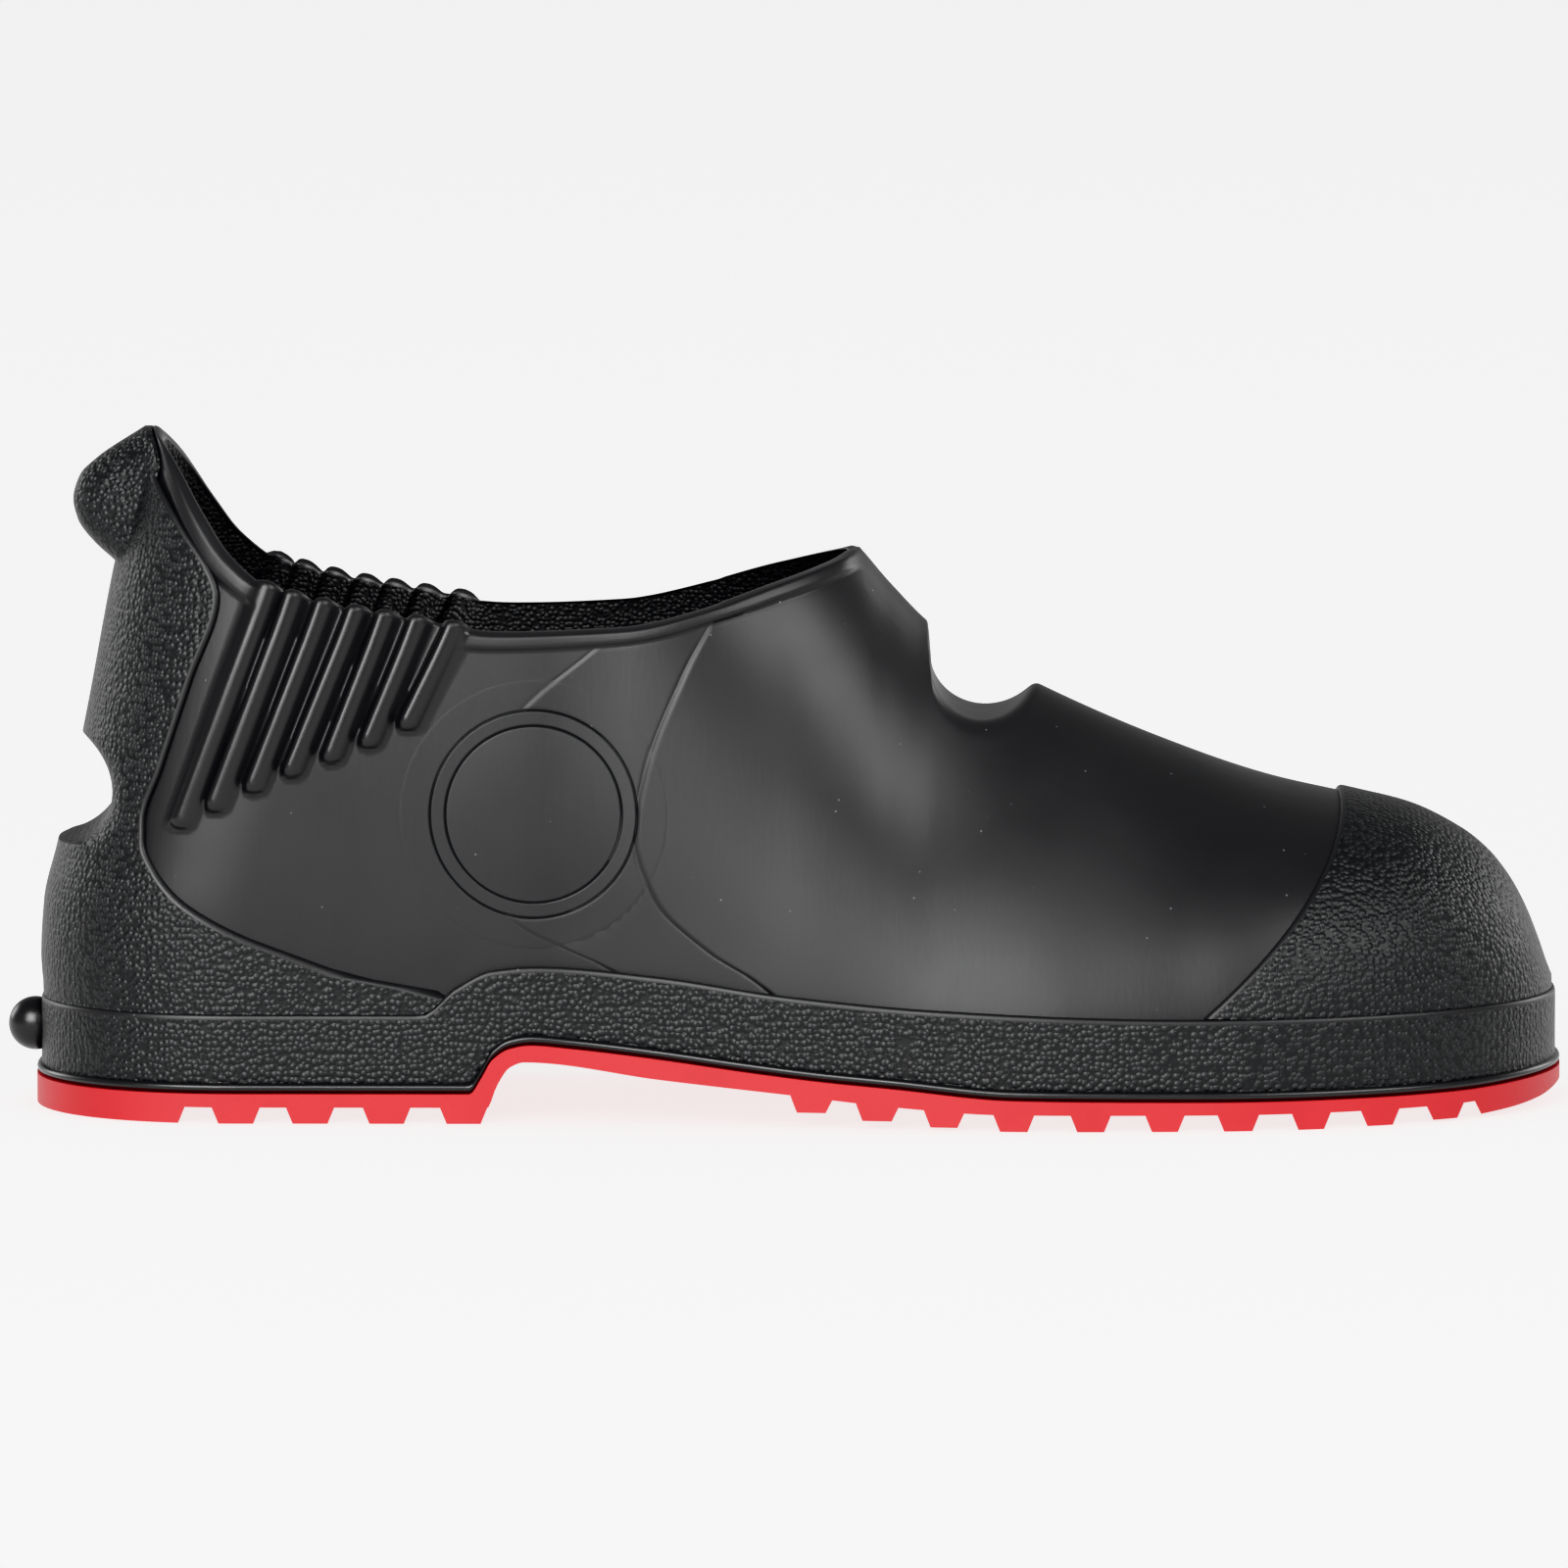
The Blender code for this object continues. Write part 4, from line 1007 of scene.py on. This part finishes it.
# round plate flush with the quarter and two fine grooves in it: a soft edge less two bells, by radius
def buildRing(finish):
    turn = np.linspace(0, 2 * math.pi, ringLook["around"], endpoint=False)[:, None]
    edge = disc["outer"] + ringLook["reach"]
    clear = ringSteps["clear"]
    lines = (disc["inner"], disc["outer"])
    across = np.linspace(-ringSteps["grooveReach"], ringSteps["grooveReach"], ringSteps["groove"])
    inside = np.linspace(0, disc["inner"] - clear, ringSteps["disc"])
    between = np.linspace(disc["inner"] + clear, disc["outer"] - clear, ringSteps["between"])
    outside = np.linspace(disc["outer"] + clear, edge, ringSteps["outside"])
    radius = np.sort(np.concatenate((inside, *(line + across for line in lines), between, outside)))
    skirt = 1 - ease(radius, edge - ringLook["skirt"], edge)
    bells = sum(np.exp(-((radius - line) / ringLook["grooveHalf"]) ** 2) for line in lines)
    height = (ringLook["proud"] + ringLook["sunk"]) * skirt - ringLook["sunk"] - ringLook["groove"] * bells
    radius = np.append(radius, (edge, 0.0))[None, :]
    height = np.append(height, (-ringLook["bed"], -ringLook["bed"]))[None, :]
    x = disc["x"] + radius * np.cos(turn)
    z = disc["z"] + radius * np.sin(turn)
    points = onSurface(x, z, 0.0, -1.0)
    points[..., 1] -= height + creaseRelief(x, z) + discRelief(x, z)
    quads = gridQuads(*x.shape, wrapColumns=True)
    return addPiece("quarterRing", [points], quads, [finish], "upper", sharp=60.0)


stageLook = dict(floorColour="#8c8c8c", glowColour="#f2f2f2", floorGlow=1.06, floorSize=60.0,
                 worldColour="#ffffff", horizon=0.5, zenith=0.32, fadeFrom=0.2, fadeTo=0.7)


# pale backlit floor, and a world that is light round the horizon and darker overhead
def buildStage():
    size = stageLook["floorSize"] / 2
    mesh = bpy.data.meshes.new("studioFloor")
    corners = [(-size, -size, 0), (size, -size, 0), (size, size, 0), (-size, size, 0)]
    mesh.from_pydata(corners, [], [(0, 1, 2, 3)])
    floor = addObject("studioFloor", mesh)
    material, shader = newMaterial("paleFloor", 0.9, 1.45)
    shader.inputs["Base Color"].default_value = hexColour(stageLook["floorColour"])
    shader.inputs["Emission Color"].default_value = hexColour(stageLook["glowColour"])
    shader.inputs["Emission Strength"].default_value = stageLook["floorGlow"]
    mesh.materials.append(material)
    world = bpy.data.worlds.new("studioWorld")
    world.use_nodes = True
    background = world.node_tree.nodes["Background"]
    background.inputs["Color"].default_value = hexColour(stageLook["worldColour"])
    direction = addNode(world, "TexCoord").outputs["Generated"]
    split = addNode(world, "SeparateXYZ", {}, {0: direction})
    fade = addNode(world, "MapRange",
                   {"interpolation_type": "SMOOTHSTEP", "From Min": stageLook["fadeFrom"],
                    "From Max": stageLook["fadeTo"], "To Min": stageLook["horizon"],
                    "To Max": stageLook["zenith"]}, {"Value": split.outputs["Z"]})
    world.node_tree.links.new(fade.outputs[0], background.inputs["Strength"])
    bpy.context.scene.world = world
    return floor


lights = dict(
    keyBox=dict(place=(-1.0, -2.4, 1.4), aim=(-0.04, 0.0, 0.05), size=1.7, power=108.0),
    fillBox=dict(place=(1.9, -1.7, 1.9), aim=(0.0, 0.0, 0.05), size=1.6, power=54.0),
    farLeftBox=dict(place=(-2.1, 1.7, 0.8), aim=(0.0, 0.0, 0.05), size=1.1, power=16.0),
    farRightBox=dict(place=(2.1, 1.7, 0.8), aim=(0.0, 0.0, 0.05), size=1.1, power=16.0),
)


# square soft boxes, each facing its aim; the far ones leave out the floor, which stays evenly pale
def buildLights(floor):
    skipped = bpy.data.collections.new("farBoxesSkip")
    skipped.objects.link(floor)
    skipped.collection_objects[0].light_linking.link_state = "EXCLUDE"
    for name, setting in lights.items():
        lamp = bpy.data.lights.new(name, "AREA")
        lamp.shape = "SQUARE"
        lamp.size = setting["size"]
        lamp.energy = setting["power"]
        item = addObject(name, lamp)
        item.location = setting["place"]
        item.rotation_euler = lookAlong(setting["place"], setting["aim"])
        if name.startswith("far"):
            item.light_linking.receiver_collection = skipped


# turn that points an object's -Z axis from one place to another
def lookAlong(place, aim):
    dx, dy, dz = np.asarray(aim, float) - np.asarray(place, float)
    return (math.atan2(math.hypot(dx, dy), -dz), 0.0, math.atan2(-dx, dy))


cameraLook = dict(elevation=6.0, distance=3.0, mmPerPixel=0.208, aimMm=(0.0, 0.0, 67.0), pixels=1600,
                  sensor=36.0)


# long lens at the photograph's height: focal length from the width the frame covers at the shoe
def buildCamera():
    width = cameraLook["mmPerPixel"] * cameraLook["pixels"] / 1000
    lens = bpy.data.cameras.new("photoCamera")
    lens.sensor_width = cameraLook["sensor"]
    lens.lens = cameraLook["sensor"] * cameraLook["distance"] / width
    lens.clip_end = 50.0
    camera = addObject("photoCamera", lens)
    aim = (np.array(cameraLook["aimMm"]) + shift) / 1000
    tilt = math.radians(cameraLook["elevation"])
    place = aim + cameraLook["distance"] * np.array([0.0, -math.cos(tilt), math.sin(tilt)])
    camera.location = place
    camera.rotation_euler = lookAlong(place, aim)
    bpy.context.scene.camera = camera
    bpy.context.scene.view_settings.view_transform = "Khronos PBR Neutral"


smooth = mouldedFinish("smoothPvc", smoothLook)
# both grained finishes: their dark and light tones are painted shade between the bosses and a painted
# highlight on their crowns
grained = grainedPvc("grainedPvc")
lining = grainedPvc("liningPvc", 1.0, 0.18, "#0f0f10", "#1d1d1e", 0.55)
gloss = mouldedFinish("glossPvc", glossLook)
red = mouldedFinish("redRubber", rubberLook)
print("materials made")

buildUpper(smooth, lining, gloss)
buildToeCap(grained, smooth)
buildCounter(grained, smooth)
buildRand(grained, smooth)
buildFlange(gloss)
buildOutsole(red)
buildTab(grained)
buildKickOff(gloss)
buildRing(smooth)
print("pieces made")

floor = buildStage()
buildLights(floor)
buildCamera()
print("stage, lights and camera made")
